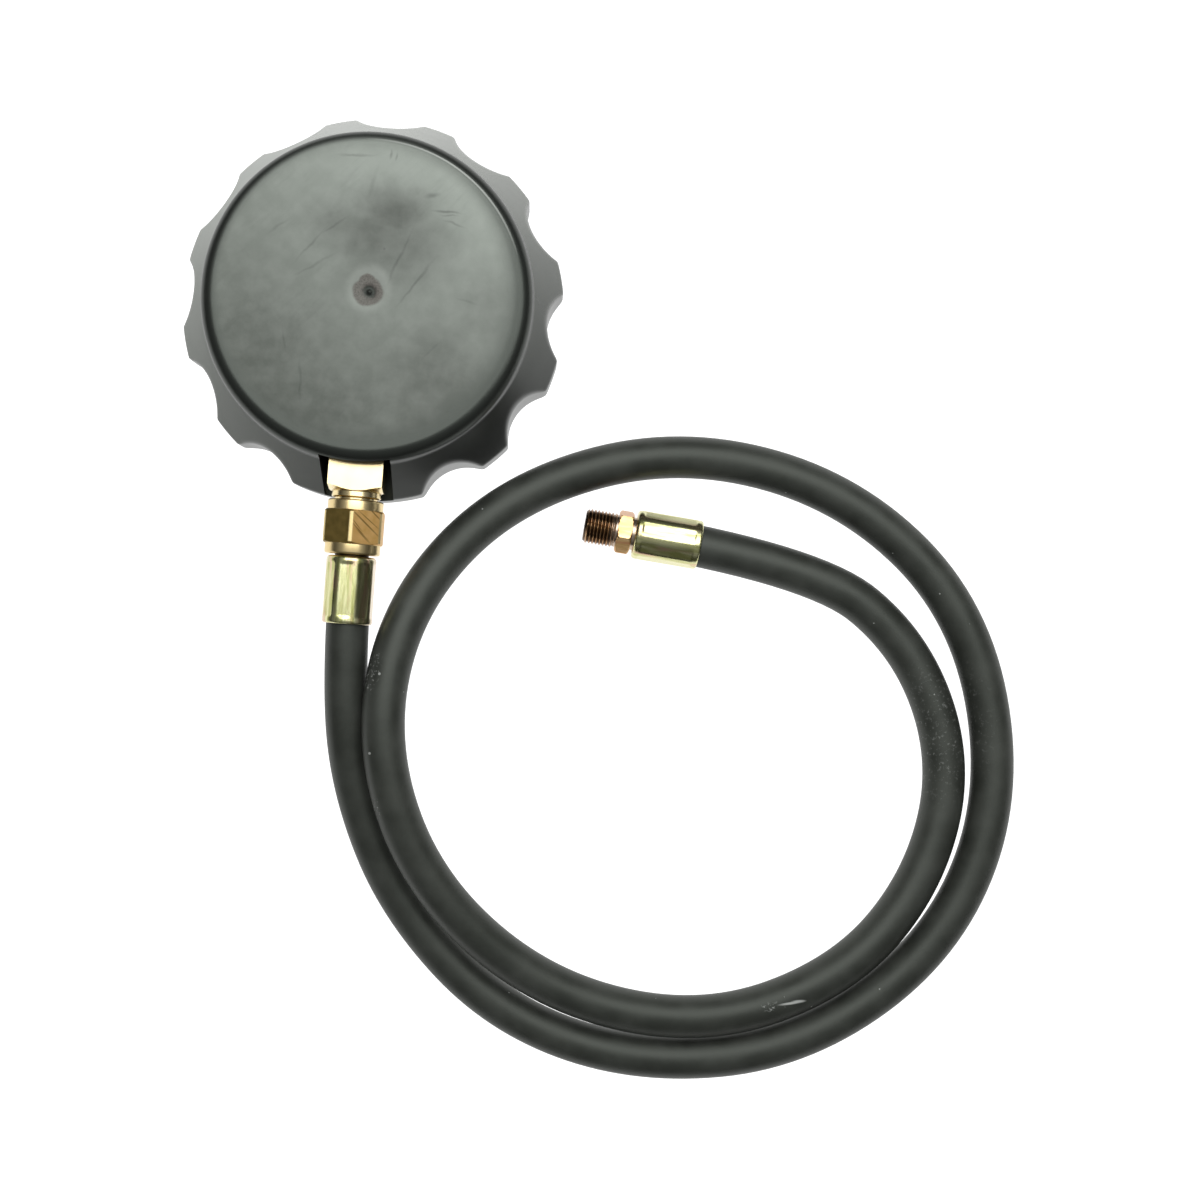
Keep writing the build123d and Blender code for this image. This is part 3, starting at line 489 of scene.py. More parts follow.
# Painted shade: on the front side, away from the light, the disc's edge fades into the ring's dark further in.
edge_place, shaded_edge_place = [
    add_node(tree, "ShaderNodeMath", {0: way, 1: share, 2: radius}, operation="MULTIPLY_ADD")
    for way, share in ((to_back, -0.03), (to_front, 0.09))]
sharp_edge, shaded_edge, past_ring = [
    add_node(tree, "ShaderNodeMapRange", {"Value": level, "From Min": start * MM, "From Max": end * MM},
             interpolation_type="SMOOTHSTEP")
    for level, start, end in ((edge_place, disc_edge, disc_edge - disc_fade),
                              (shaded_edge_place, shaded_edge_start, shaded_edge_end),
                              (radius, ring_edge - ring_fade, ring_edge))]
on_disc = together(tree, "MULTIPLY", sharp_edge, shaded_edge)
facing = add_node(tree, "ShaderNodeSeparateXYZ", {0: coords["Normal"]})
turned_up = add_node(tree, "ShaderNodeMapRange", {"Value": facing.outputs["Z"], "From Min": 0.02, "From Max": 0.38})
on_cone = together(tree, "MULTIPLY", past_ring, turned_up)
lit_share = add_node(tree, "ShaderNodeMapRange", {
    "Value": to_window, "From Min": -light_span * MM, "From Max": light_span * MM})
# Painted light and shade: the disc's bloom runs from a dark grey on its shaded side to a pale grey on its lit side,
# and the cone from black on its shaded side to pale bloom on its lit side.
disc_tone = blend(tree, lit_bloom_level, shaded_bloom_grey, lit_bloom_grey)
lit_cone_tone = blend(tree, lit_share, boot_black, lit_cone_bloom)


def shaken(amount):
    """The place shifted by a noise, so that what is laid on it gets a ragged outline."""
    push = add_node(tree, "ShaderNodeTexNoise", {"Vector": place, "Scale": 1 / (5 * MM), "Detail": 5.0})
    shift = add_node(tree, "ShaderNodeVectorMath", {
        0: push.outputs["Color"], 1: (amount * MM, amount * MM, 0), 2: (-amount / 2 * MM, -amount / 2 * MM, 0)},
        operation="MULTIPLY_ADD")
    return add_node(tree, "ShaderNodeVectorMath", {0: place, 1: shift}, operation="ADD")


ragged, uneven = shaken(7), shaken(1.8)
# The painted dark patches for the shading of the uneven disc, with ragged outlines.
shade_patches = together(tree, "MAXIMUM", *[
    near_spot(tree, ragged, (x, y, shade_patch_height), (long, wide, shade_patch_depth), 0.95, 0, strength)
    for (x, y), (long, wide), strength in boot_shade_patches])
disc_tone = blend(tree, shade_patches, disc_tone, shade_patch_black)
# Faint smears run up to the right, and the bloom is mottled.
drawn_out = add_node(tree, "ShaderNodeMapping", {"Vector": place, "Rotation": (0, 0, math.radians(48)),
                                                "Scale": (11 * MM, 1.7 * MM, 5 * MM)}, vector_type="TEXTURE")
smear = add_node(tree, "ShaderNodeTexNoise", {"Vector": drawn_out, "Scale": 1.0, "Detail": 4.0})
smeared = add_node(tree, "ShaderNodeMapRange", {"Value": smear, "From Min": 0.5, "From Max": 0.75, "To Max": 0.15})
smear_area = add_node(tree, "ShaderNodeMapRange", {"Value": bloom, "From Min": 0.46, "From Max": 0.58})
mottle = add_node(tree, "ShaderNodeTexNoise", {"Vector": place, "Scale": 1 / (4.5 * MM), "Detail": 6.0})
mottled = add_node(tree, "ShaderNodeMapRange", {"Value": mottle, "From Min": 0.36, "From Max": 0.72, "To Max": 0.1})
strokes = together(tree, "MAXIMUM", *[
    near_spot(tree, uneven, (x, y, stroke_height), (long, wide, mark_depth), 1.0, turn, strength)
    for (x, y), long, wide, turn, strength in boot_strokes])
dark_marks = together(tree, "MAXIMUM", strokes, together(tree, "MULTIPLY", smeared, smear_area))
disc_tone = blend(tree, dark_marks, disc_tone, smudge_black)
disc_tone = blend(tree, mottled, disc_tone, mottle_grey)
# The gate: a pale halo, stippled skin over it and the dark pit where the sprue broke off.
gate_x, gate_y = gate_place
halo = near_spot(tree, uneven, (gate_x - 0.3, gate_y + 0.8, mark_height), (5.9, 6.4, mark_depth), 0.2, 0, 0.2)
stipple = add_node(tree, "ShaderNodeTexNoise", {"Vector": place, "Scale": 1 / (0.45 * MM), "Detail": 3.0})
gate_skin = together(
    tree, "MAXIMUM",
    near_spot(tree, uneven, (gate_x - 0.5, gate_y - 0.1, mark_height), (4.2, 3.7, mark_depth), 0.12),
    near_spot(tree, uneven, (gate_x - 0.9, gate_y + 2.2, mark_height), (2.3, 2.6, mark_depth), 0.14))
pit = near_spot(tree, uneven, (gate_x, gate_y, mark_height), (1.75, 1.7, mark_depth), 0.4)
disc_tone = blend(tree, halo, disc_tone, halo_grey)
disc_tone = blend(tree, gate_skin, disc_tone, blend(tree, stipple, gate_dark, gate_light))
disc_tone = blend(tree, pit, disc_tone, gate_hole)
colour = blend(tree, on_disc, boot_black, disc_tone)
# A painted highlight: a thin pale line on the disc's edge where it catches the light, on the side that lies up and
# to the right.
off_line = together(tree, "SUBTRACT", radius, pale_edge * MM)
off_line = add_node(tree, "ShaderNodeMath", {0: off_line}, operation="ABSOLUTE")
on_line = add_node(tree, "ShaderNodeMapRange", {"Value": off_line, "From Min": 0.34 * MM, "From Max": 0.1 * MM})
lit_line_side = add_node(tree, "ShaderNodeMapRange", {
    "Value": to_light, "From Min": 33 * MM, "From Max": 42 * MM, "To Max": 0.42})
colour = blend(tree, together(tree, "MULTIPLY", on_line, lit_line_side), colour, edge_highlight_grey)
# Clean rubber shines a little, bloom dulls it. The mould's wall leaves it slightly wavy and porous.
dusty = add_node(tree, "ShaderNodeMapRange", {"Value": on_disc, "To Min": 0.34, "To Max": 0.5})
gloss = add_node(tree, "ShaderNodeMapRange", {"Value": lit_bloom_level, "To Min": 0.46, "To Max": 0.24})
shine = add_node(tree, "ShaderNodeMix", {"Factor": on_cone, "A": dusty, "B": gloss})
# Painted shade: the cone's specular level is lower on the side away from the light.
cone_mirror = add_node(tree, "ShaderNodeMapRange", {"Value": lit_share, "To Min": 0.26, "To Max": 0.52})
mirror = add_node(tree, "ShaderNodeMix", {"Factor": on_cone, "A": 0.5, "B": cone_mirror})
sunk = roughened(tree, place, 20, 2.0, 0.3, 0.6)
set_inputs(tree, shader, {
    "Base Color": blend(tree, on_cone, colour, lit_cone_tone), "Roughness": shine,
    "Specular IOR Level": mirror, "Specular Tint": boot_sheen,
    "Normal": roughened(tree, place, 0.5, 3.0, 0.1, 0.04, sunk)})

boot = finish_mesh("rubber_boot", boot_points, ring_faces(len(outside + inside), boot_steps), boot_rubber, 50)
slot_cut_mesh = bpy.data.meshes.new("stem_slot")
cut = bmesh.new()
bmesh.ops.create_cube(cut, size=1.0)
slot_reach = lobe_radius + cut_past - slot_inner
for vertex in cut.verts:
    x, y, z = vertex.co
    vertex.co = (x * 2 * slot_half_width * MM, (y * slot_reach - slot_inner - slot_reach / 2) * MM + gauge_y,
                 (z * (slot_high - slot_low) + (slot_high + slot_low) / 2) * MM)
cut.to_mesh(slot_cut_mesh)
cut.free()
stem_slot = new_object("stem_slot", slot_cut_mesh)


def settle(piece):
    """Applies a piece's modifiers to its mesh."""
    bpy.context.view_layer.update()
    evaluated = piece.evaluated_get(bpy.context.evaluated_depsgraph_get())
    mesh = bpy.data.meshes.new_from_object(evaluated)
    piece.modifiers.clear()
    piece.data = mesh
    mesh.name = piece.name


opening = boot.modifiers.new("slot", "BOOLEAN")
opening.operation = "DIFFERENCE"
opening.solver = "EXACT"
opening.object = stem_slot
settle(boot)
bpy.data.objects.remove(stem_slot)
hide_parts("protective_boot")
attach(boot, "gauge")


# The socket: one brass forging, square where it leaves the boot and milled bright, with a turned neck.
# Its thread and the block that holds the tube are out of sight.
brass_bright = "#e4ce98"
brass_pale = "#ecdaac"


def softened(node, name, body, material, width, angle=32.0):
    """A copy of a CAD node with its corners broken, which stands for it."""
    piece = new_object(name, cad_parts[node].data.copy())
    build = bmesh.new()
    build.from_mesh(piece.data)
    bmesh.ops.remove_doubles(build, verts=build.verts, dist=0.0005 * MM)
    bmesh.ops.dissolve_limit(build, angle_limit=math.radians(0.4), verts=build.verts, edges=build.edges)
    for face in build.faces:
        face.smooth = True
    build.to_mesh(piece.data)
    build.free()
    piece.data.materials.clear()
    piece.data.materials.append(material)
    edge = piece.modifiers.new("broken corners", "BEVEL")
    edge.width = width * MM
    edge.segments = 2
    edge.limit_method = "ANGLE"
    edge.angle_limit = math.radians(angle)
    piece.modifiers.new("flat faces", "WEIGHTED_NORMAL").weight = 100
    settle(piece)
    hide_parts(node)
    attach(piece, body)
    return piece


# The cutter's lines run along the stem, a tenth of a millimetre apart.
bright_brass, tree, shader, coords = new_material("milled free-cutting brass")
tone = add_node(tree, "ShaderNodeTexNoise", {"Vector": coords["Object"], "Scale": 1 / (4 * MM), "Detail": 4.0})
lines = add_node(tree, "ShaderNodeMapping", {
    "Vector": coords["Object"], "Scale": (1 / (6 * MM), 1 / (0.12 * MM), 1 / (0.12 * MM))})
cutter = add_node(tree, "ShaderNodeTexNoise", {"Vector": lines, "Scale": 1.0, "Detail": 2.0})
tooling = add_node(tree, "ShaderNodeBump", {"Height": cutter, "Strength": 0.12, "Distance": 0.02 * MM})
set_inputs(tree, shader, {"Base Color": blend(tree, tone, brass_bright, brass_pale), "Metallic": 1.0,
                          "Roughness": 0.24, "Normal": tooling})
socket = softened("stem_socket", "brass_socket", "gauge", bright_brass, 0.2)


# The swivel nut: turned from hexagon brass bar. The collars are turned bright; the drawn faces of the
# hexagon stay dull and brown with a few slanting tool marks.
nut_start = 54.4
nut_length = 15.1
nut_across = 16.0
nut_corner_radius = 9.0
nut_collar = 7.75
nut_collar_length = 2.8
nut_thread_radius = 6.63
nut_hole_radius = 4.75
nut_wall = 3.0
nut_steps = 360
collar_brass = "#dec894"
corner_brass = "#e3cf98"
shaded_face_brass = ("#5c5026", "#a1894e")
lit_face_brass = ("#c89c52", "#f0c888")
score_brown = "#3d2c12"
score_height = 26
score_depth = 9
# Dark scores on the face that looks up and to the right: place, half length, half width, turn.
nut_scores = [((3.6, -60.6), 4.4, 0.17, -42), ((2.4, -63.0), 3.2, 0.13, -46), ((6.2, -58.2), 2.2, 0.14, -43),
              ((4.6, -59.8), 3.0, 0.1, -39), ((3.2, -64.2), 2.0, 0.1, -45), ((1.6, -61.4), 1.6, 0.1, -50)]

nut_brass, tree, shader, coords = new_material("turned and drawn brass")
place = from_gauge(tree, coords)
parts = add_node(tree, "ShaderNodeSeparateXYZ", {0: place}).outputs
from_middle = together(tree, "ADD", parts["Y"], (nut_start + nut_length / 2) * MM)
from_middle = add_node(tree, "ShaderNodeMath", {0: from_middle}, operation="ABSOLUTE")
hexagon_half = nut_length / 2 - nut_collar_length
on_hexagon = add_node(tree, "ShaderNodeMapRange", {
    "Value": from_middle, "From Min": hexagon_half * MM, "From Max": (hexagon_half - 0.2) * MM})
lowered = add_node(tree, "ShaderNodeVectorMath", {0: place, 1: (0, 0, -stem_height * MM)}, operation="ADD")
on_corner = add_node(tree, "ShaderNodeMapRange", {
    "Value": off_axis(tree, lowered, (1, 0, 1)), "From Min": (nut_corner_radius - 0.12) * MM,
    "From Max": (nut_corner_radius - 0.04) * MM})
# Painted light and shade: the face up and to the right is painted bright for the light on it, and the one beside it
# dark for its shade.
stain = add_node(tree, "ShaderNodeTexNoise", {"Vector": place, "Scale": 1 / (2.2 * MM), "Detail": 5.0})
lit_face_side = add_node(tree, "ShaderNodeMapRange", {
    "Value": parts["X"], "From Min": -0.6 * MM, "From Max": 0.6 * MM})
dull = blend(tree, lit_face_side, blend(tree, stain, *shaded_face_brass), blend(tree, stain, *lit_face_brass))
scored = together(tree, "MAXIMUM", *[
    near_spot(tree, place, (x, y, score_height), (long, wide, score_depth), 1.0, turn, 0.75)
    for (x, y), long, wide, turn in nut_scores])
dull = blend(tree, scored, dull, score_brown)
dull = blend(tree, on_corner, dull, corner_brass)
rough = add_node(tree, "ShaderNodeMapRange", {"Value": on_hexagon, "To Min": 0.3, "To Max": 0.52})
set_inputs(tree, shader, {
    "Base Color": blend(tree, on_hexagon, collar_brass, dull), "Metallic": 1.0, "Roughness": rough})


def place_along(origin, direction):
    """A place whose +Z runs along a level direction, with +Y up."""
    forward = Vector(direction).normalized()
    up = Vector((0, 0, 1))
    side = up.cross(forward)
    turn = Matrix((side, up, forward)).transposed().to_4x4()
    return Matrix.Translation(Vector((origin[0] * MM, origin[1] * MM + gauge_y, origin[2] * MM))) @ turn


def turned_piece(name, node, body, material, place, rows, steps, smooth_angle):
    """A ring of rows along +Z of a place. A row is its reach in mm, or a function for it, and its height."""
    points = []
    for reach, along in rows:
        for step in range(steps):
            turn = math.tau * step / steps
            r = reach(math.degrees(turn), along) if callable(reach) else reach
            points.append(place @ Vector((r * math.cos(turn) * MM, r * math.sin(turn) * MM, along * MM)))
    last = (len(rows) - 1) * steps
    faces = ring_faces(len(rows), steps)
    faces += [(last + k, last + (k + 1) % steps, (k + 1) % steps, k) for k in range(steps)]
    piece = finish_mesh(name, points, faces, material, smooth_angle)
    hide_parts(node)
    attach(piece, body)
    return piece


def nut_reach(angle, along):
    """The hexagon with a corner up, its corners broken round and its ends chamfered at 30 degrees."""
    off_face = math.radians((angle - 30) % 60 - 30)
    flat = rounded_least(nut_across / 2 / math.cos(off_face), nut_corner_radius, 0.06)
    from_end = min(along - nut_collar_length, nut_length - nut_collar_length - along)
    return rounded_least(flat, nut_across / 2 - 0.02 + from_end * 1.7, 0.1)


shoulder = nut_length - nut_collar_length
# How far in and along the skin lies where a collar's outer edge is rounded.
collar_edge = [(0.5, 0), (0.2, 0.12), (0.04, 0.35), (0, 0.6)]
nut_rows = [(nut_thread_radius, nut_length - nut_wall), (nut_thread_radius, 0.3), (nut_thread_radius + 0.3, 0)]
nut_rows += [(nut_collar - inwards, along) for inwards, along in collar_edge]
nut_rows += [(nut_collar, nut_collar_length - 0.25), (nut_collar, nut_collar_length)]
nut_rows += [(nut_reach, nut_collar_length + (shoulder - nut_collar_length) * k / 60) for k in range(61)]
nut_rows += [(nut_collar, shoulder), (nut_collar, shoulder + 0.25)]
nut_rows += [(nut_collar - inwards, nut_length - along) for inwards, along in reversed(collar_edge)]
nut_rows += [(nut_hole_radius + 0.2, nut_length), (nut_hole_radius, nut_length - 0.2),
             (nut_hole_radius, nut_length - nut_wall)]
turned_piece("union_nut", "swivel_nut", "nut", nut_brass,
             place_along((0, -nut_start, stem_height), (0, -1, 0)), nut_rows, nut_steps, 30)


# The ferrules: drawn steel shells, crimped to the hose by eight jaws that leave flats between two
# untouched rims, then zinc plated and yellow passivated, which shimmers from green to pink.
ferrule_length = 18.8
ferrule_radius = 7.0
ferrule_flat = 6.72
ferrule_bore = 6.1
ferrule_neck = 4.7
ferrule_rim = 1.9
crimp_run = 0.7
crimp_flats = 8
ferrule_steps = 288
near_ferrule_place = (0, -70.0, stem_height)
far_ferrule_mouth = (97.4, -58.93, 7.0)
near_flats_turn = 27.2
far_flats_turn = 8.5
passivated = ("#abad6c", "#dfdeae", "#cfae94")
near_flanks = "#dcc8ba"
far_flanks = "#dbd6ab"


def zinc(name, low, high, warm, flanks, roughness, place, bearing):
    """Yellow passivated zinc on a drawn or turned piece: its tint drifts, in streaks along the piece."""
    material, tree, shader, coords = new_material(name)
    lying = add_node(tree, "ShaderNodeMapping", {
        "Vector": coords["Object"], "Location": (place[0] * MM, place[1] * MM + gauge_y, place[2] * MM),
        "Rotation": (0, 0, math.radians(bearing)), "Scale": (9 * MM, 1.3 * MM, 1.3 * MM)}, vector_type="TEXTURE")
    drift = add_node(tree, "ShaderNodeTexNoise", {"Vector": lying, "Scale": 1.0, "Detail": 3.0})
    drift_level = add_node(tree, "ShaderNodeMapRange", {"Value": drift, "From Min": 0.35, "From Max": 0.65})
    film = add_node(tree, "ShaderNodeTexNoise", {"Vector": lying, "Scale": 0.7, "Detail": 2.0, "W": 3.0},
                    noise_dimensions="4D")
    film_level = add_node(tree, "ShaderNodeMapRange", {"Value": film, "From Min": 0.53, "From Max": 0.68})
    tint = blend(tree, drift_level, low, high)
    tint = blend(tree, film_level, tint, warm)
    # Painted sheen: flanks that face sideways are painted pinker, for the film's pink shimmer at a grazing view.
    facing = add_node(tree, "ShaderNodeSeparateXYZ", {0: coords["Normal"]})
    flank = add_node(tree, "ShaderNodeMapRange", {
        "Value": facing.outputs["Z"], "From Min": 0.7, "From Max": 0.25, "To Max": 0.7})
    set_inputs(tree, shader, {
        "Base Color": blend(tree, flank, tint, flanks), "Metallic": 1.0, "Roughness": roughness,
        "Normal": roughened(tree, coords["Object"], 0.6, 2.0, 0.08, 0.03)})
    return material


def crimp_depth(along):
    """0 on the rims and 1 where the jaws pressed, over the length of the shell."""
    entering = (along - ferrule_rim + crimp_run / 2) / crimp_run
    leaving = (ferrule_length - ferrule_rim + crimp_run / 2 - along) / crimp_run
    level = max(0.0, min(1.0, entering, leaving))
    return level * level * (3 - 2 * level)


def ferrule(name, node, origin, bearing, flats_turn, flanks):
    """A shell from its closed face, at an origin in mm, along a level bearing in degrees."""
    place = place_along(origin, (math.cos(math.radians(bearing)), math.sin(math.radians(bearing)), 0))
    finish = zinc(f"yellow passivated zinc, {name}", *passivated, flanks, 0.26, origin, bearing)
    step = 360 / crimp_flats

    def crimped(angle, along):
        """The shell's skin where the jaws pressed it."""
        off_flat = math.radians((angle - flats_turn) % step - step / 2)
        flat = rounded_least(ferrule_flat / math.cos(off_flat), ferrule_radius, 0.12)
        return ferrule_radius + (flat - ferrule_radius) * crimp_depth(along)

    rows = [(ferrule_neck, 0), (6.0, 0), (6.45, 0.1), (6.75, 0.35), (6.93, 0.7), (ferrule_radius, 1.1)]
    rows += [(crimped, along) for _, along in line((0, 1.1), (0, ferrule_length - 0.7), 60)]
    rows += [(6.93, ferrule_length - 0.35), (6.75, ferrule_length - 0.1), (6.5, ferrule_length),
             (6.25, ferrule_length - 0.12), (ferrule_bore, ferrule_length - 0.45), (ferrule_bore, 1.2),
             (ferrule_neck, 1.2)]
    return turned_piece(name, node, "gauge", finish, place, rows, ferrule_steps, 40)


adapter_bearing = 174.5
adapter_way = Vector((math.cos(math.radians(adapter_bearing)), math.sin(math.radians(adapter_bearing)), 0))
closed_end = Vector(far_ferrule_mouth) + adapter_way * ferrule_length
near_ferrule = ferrule("gauge_end_ferrule", "ferrule_gauge_end", near_ferrule_place, -90, near_flats_turn,
                       near_flanks)
far_ferrule = ferrule("engine_end_ferrule", "ferrule_engine_end", closed_end, adapter_bearing - 180,
                      far_flats_turn, far_flanks)


# The adapter: turned from hexagon steel bar, with a rolled M10 x 1 thread, passivated like the
# ferrules but browner, because the thread holds more of the bath.
hexagon_across = 11.0
hexagon_turn = 12.8
hexagon_start = 0.9
hexagon_length = 4.2
relief = 0.5
thread_length = 8.9
thread_pitch = 1.0
thread_major = 5.0
thread_depth = 0.61
thread_lead_in = 0.9
bore_radius = 2.0
neck_radius = 4.7
adapter_steps = 144
adapter_tones = ("#b8935f", "#dcbb88", "#bb8460", "#bf8b66")
thread_brown = "#96795e"
groove_brown = "#5a4632"
runout_pale = "#d6c8b8"
gap_shade_tones = ("#3c3424", "#5a4f38", "#4a3a2a", "#3c3020")

adapter_zinc = zinc("brown passivated zinc on steel", *adapter_tones, 0.3, closed_end, adapter_bearing)
tree = adapter_zinc.node_tree
shader = next(found for found in tree.nodes if found.type == "BSDF_PRINCIPLED")
tint = shader.inputs["Base Color"].links[0].from_socket
way = place_along(closed_end, adapter_way)
hexagon_end = hexagon_start + hexagon_length
thread_start = hexagon_end + relief
thread_end = thread_start + thread_length
# The thread and the neck are tinted browner, and darker where they lie deepest: in the thread's grooves and in the
# neck.
on_axis = add_node(tree, "ShaderNodeMapping", {
    "Vector": add_node(tree, "ShaderNodeTexCoord").outputs["Object"], "Location": way.translation,
    "Rotation": (0, 0, math.radians(adapter_bearing))}, vector_type="TEXTURE")
out = off_axis(tree, on_axis, (0, 1, 1))
groove = add_node(tree, "ShaderNodeMapRange", {"Value": out, "From Min": 4.88 * MM, "From Max": 4.55 * MM})
threaded = add_node(tree, "ShaderNodeMapRange", {"Value": out, "From Min": 5.2 * MM, "From Max": 5.05 * MM})
tint = blend(tree, together(tree, "MULTIPLY", threaded, 0.5), tint, thread_brown)
tint = blend(tree, groove, tint, groove_brown)
# The thread is paler where it runs out beside the hexagon.
along_axis = add_node(tree, "ShaderNodeSeparateXYZ", {0: on_axis})
runs_out = add_node(tree, "ShaderNodeMapRange", {
    "Value": along_axis, "From Min": (thread_start + 2.0) * MM, "From Max": (thread_start + 0.4) * MM})
tint = blend(tree, together(tree, "MULTIPLY", runs_out, threaded, 0.6), tint, runout_pale)
set_inputs(tree, shader, {"Base Color": tint})


def hexagon_reach(angle, along):
    """The hexagon's skin with its turned chamfers."""
    off_face = math.radians((angle - hexagon_turn) % 60 - 30)
    flat = hexagon_across / 2 / math.cos(off_face)
    from_end = min(along - hexagon_start, hexagon_end - along)
    return rounded_least(flat, hexagon_across / 2 + from_end * 1.7, 0.15)


def thread_reach(angle, along):
    """The thread's skin: a rounded V that starts and ends in the chamfers."""
    turn = (along / thread_pitch - angle / 360) % 1.0
    ridge = 1 - abs(2 * turn - 1)
    crest = thread_major - thread_depth * (1 - min(1.0, max(0.0, 1.25 * ridge - 0.12)))
    lead = thread_major - max(0.0, along - (thread_end - thread_lead_in)) * 0.95
    runout = thread_major - max(0.0, thread_start + 0.4 - along) * 0.9
    return min(crest, lead, runout)


rows = [(bore_radius, 0.0), (neck_radius, 0.0), (neck_radius, hexagon_start)]
rows += [(hexagon_reach, hexagon_start + hexagon_length * k / 20) for k in range(21)]
rows += [(neck_radius - 0.1, hexagon_end), (neck_radius - 0.1, thread_start)]
thread_rows = int(thread_length / thread_pitch * 14)
rows += [(thread_reach, thread_start + thread_length * k / thread_rows) for k in range(thread_rows + 1)]
rows += [(bore_radius + 0.3, thread_end), (bore_radius, thread_end - 0.3)]
adapter = turned_piece("engine_thread_adapter", "engine_adapter", "gauge", adapter_zinc, way, rows,
                       adapter_steps, 38)

# Painted shade: the neck of the tail, down in the gap between nut and ferrule, is painted dark for the shade in the
# gap.
gap_shade_zinc = zinc("zinc on steel, painted shade", *gap_shade_tones, 0.5, near_ferrule_place, -90)
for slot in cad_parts["hose_tail"].material_slots:
    slot.material = gap_shade_zinc


# The case and the bezel: pressed steel, stoved black. Only slivers of them show in the slot and
# behind the boot's front rim.
stoved, tree, shader, coords = new_material("black stoving enamel on steel")
set_inputs(tree, shader, {"Base Color": "#151515", "Roughness": 0.32,
                          "Normal": roughened(tree, coords["Object"], 0.8, 2.0, 0.1, 0.03)})


def dress(material, *names):
    """Gives CAD nodes a finish."""
    for name in names:
        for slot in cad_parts[name].material_slots:
            slot.material = material


dress(stoved, "gauge_case", "bezel_ring")

# The window: flat float glass, 2 mm, on a black nitrile gasket.
glass, tree, shader, coords = new_material("float glass")
set_inputs(tree, shader, {"Base Color": "#f4f8f6", "Roughness": 0.02, "Transmission Weight": 1.0, "IOR": 1.5})
dress(glass, "window")
dress(hose_rubber, "window_gasket")

# The dial: aluminium sheet, sprayed satin white and screen printed in black: 0 to 10 over 270
# degrees, ten numbered steps of five divisions.
dial_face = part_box("dial_plate")[0][2]
ink_thickness = 0.03 * MM
scale_radius = 35.5
long_tick = (3.6, 0.55)
short_tick = (2.0, 0.28)
top_number = 10
divisions = 5
dial_start = -45
dial_sweep = 270
number_radius = 26.5
number_size = 6.2


def drifting(name, grain, low, high, roughness, detail=2.0, metallic=0.0):
    """A paint, an ink or a metal whose tone drifts over a grain in millimetres."""
    material, tree, shader, coords = new_material(name)
    tone = add_node(tree, "ShaderNodeTexNoise", {
        "Vector": coords["Object"], "Scale": 1 / (grain * MM), "Detail": detail})
    set_inputs(tree, shader, {
        "Base Color": blend(tree, tone, low, high), "Metallic": metallic, "Roughness": roughness})
    return material


# The spray dries in a fine satin grain, and the screen's mesh shows faintly in the ink.
dress(drifting("satin white enamel", 0.5, "#e9e9e4", "#f0f0ec", 0.45), "dial_plate")
ink = drifting("black screen ink", 0.4, "#131313", "#1c1c1c", 0.55)


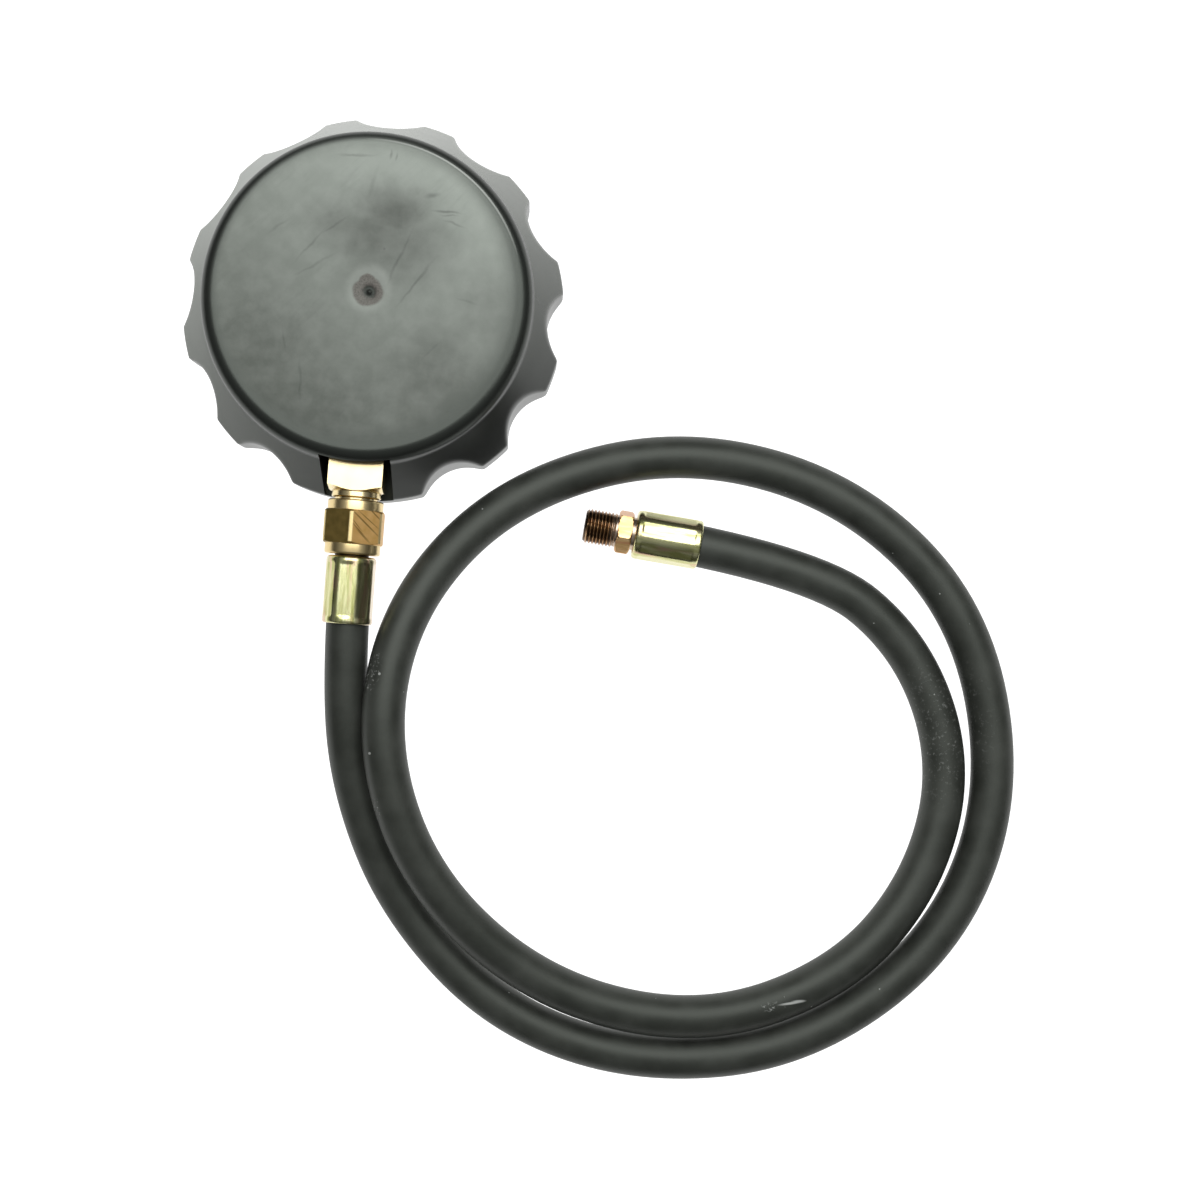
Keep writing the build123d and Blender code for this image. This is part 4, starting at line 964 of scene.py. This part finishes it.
def tick_ring(name, count, tick_length, tick_width):
    """Ticks over the dial's sweep, by Geometry Nodes."""
    tree = bpy.data.node_groups.new(name, "GeometryNodeTree")
    for label, value in (("Count", count), ("Radius", scale_radius * MM), ("Tick Length", tick_length * MM),
                         ("Tick Width", tick_width * MM)):
        kind = "NodeSocketInt" if label == "Count" else "NodeSocketFloat"
        tree.interface.new_socket(label, in_out="INPUT", socket_type=kind).default_value = value
    tree.interface.new_socket("Geometry", in_out="OUTPUT", socket_type="NodeSocketGeometry")
    given = add_node(tree, "NodeGroupInput").outputs
    line_points = add_node(tree, "GeometryNodePoints", {"Count": given["Count"]})
    index = add_node(tree, "GeometryNodeInputIndex")
    share = together(tree, "DIVIDE", index, together(tree, "SUBTRACT", given["Count"], 1.0))
    angle = add_node(tree, "ShaderNodeMath", {0: share, 1: math.radians(dial_sweep), 2: math.radians(dial_start)},
                     operation="MULTIPLY_ADD")
    turn = add_node(tree, "ShaderNodeCombineXYZ", {"Z": angle})
    size = add_node(tree, "ShaderNodeCombineXYZ", {
        "X": given["Tick Length"], "Y": given["Tick Width"], "Z": ink_thickness})
    tick = add_node(tree, "GeometryNodeMeshCube", {"Size": size})
    half = together(tree, "MULTIPLY", given["Tick Length"], 0.5)
    offset = add_node(tree, "ShaderNodeCombineXYZ", {"X": together(tree, "SUBTRACT", given["Radius"], half)})
    moved = add_node(tree, "GeometryNodeTransform", {"Geometry": tick, "Translation": offset})
    placed = add_node(tree, "GeometryNodeInstanceOnPoints", {
        "Points": line_points, "Instance": moved, "Rotation": turn})
    real = add_node(tree, "GeometryNodeRealizeInstances", {"Geometry": placed})
    coloured = add_node(tree, "GeometryNodeSetMaterial", {"Geometry": real, "Material": ink})
    add_node(tree, "NodeGroupOutput", {"Geometry": coloured})
    ring = new_object(name, bpy.data.meshes.new(name))
    ring.modifiers.new("ticks", "NODES").node_group = tree
    settle(ring)
    ring.data.transform(Matrix.Translation((0, gauge_y, dial_face - ink_thickness / 2)))
    if not ring.data.materials:
        ring.data.materials.append(ink)
    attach(ring, "gauge")


tick_ring("long_ticks", top_number + 1, *long_tick)
tick_ring("short_ticks", top_number * divisions + 1, *short_tick)

for value in range(top_number + 1):
    angle = math.radians(dial_start + dial_sweep / top_number * value)
    text = bpy.data.curves.new(f"number_{value}", "FONT")
    text.body = str(value)
    text.size = number_size * MM
    text.align_x = "CENTER"
    text.align_y = "CENTER"
    text.extrude = ink_thickness / 2
    label = new_object(f"dial_number_{value}", text)
    bpy.context.view_layer.update()
    mesh = bpy.data.meshes.new_from_object(label.evaluated_get(bpy.context.evaluated_depsgraph_get()))
    bpy.data.objects.remove(label)
    centre = Vector((number_radius * MM * math.cos(angle), number_radius * MM * math.sin(angle) + gauge_y,
                     dial_face - ink_thickness / 2))
    mesh.transform(Matrix.Translation(centre) @ Matrix.Rotation(math.pi, 4, "Y"))
    mesh.materials.clear()
    mesh.materials.append(ink)
    figure = new_object(f"dial_number_{value}", mesh)
    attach(figure, "gauge")


# The movement: brass plates, pillars, sector and link, steel arbors and screws, a bronze hairspring
# and the drawn bronze Bourdon tube. All of it is shut in the case.
for name, low, high, roughness, *nodes in (
        ("stamped brass", "#c9a355", "#d9b86c", 0.3, "movement_front_plate", "movement_back_plate",
         "movement_pillars", "dial_pillars", "sector_gear", "link", "hairspring_collet", "hairspring_stud",
         "bourdon_tip"),
        ("ground steel", "#a9a9ab", "#bdbdbf", 0.22, "pinion_arbor", "sector_staff", "sector_link_pin",
         "tip_link_pin", "zero_stop_pin"),
        ("zinc plated screw steel", "#9a9c9e", "#b4b6b8", 0.3, "dial_screws", "movement_screws",
         "foot_screws", "case_screws"),
        ("phosphor bronze", "#b9834f", "#c79463", 0.28, "hairspring", "bourdon_tube")):
    dress(drifting(name, 3, low, high, roughness, 4.0, 1.0), *nodes)
dress(bright_brass, "restrictor_screw")
dress(ink, "pointer")
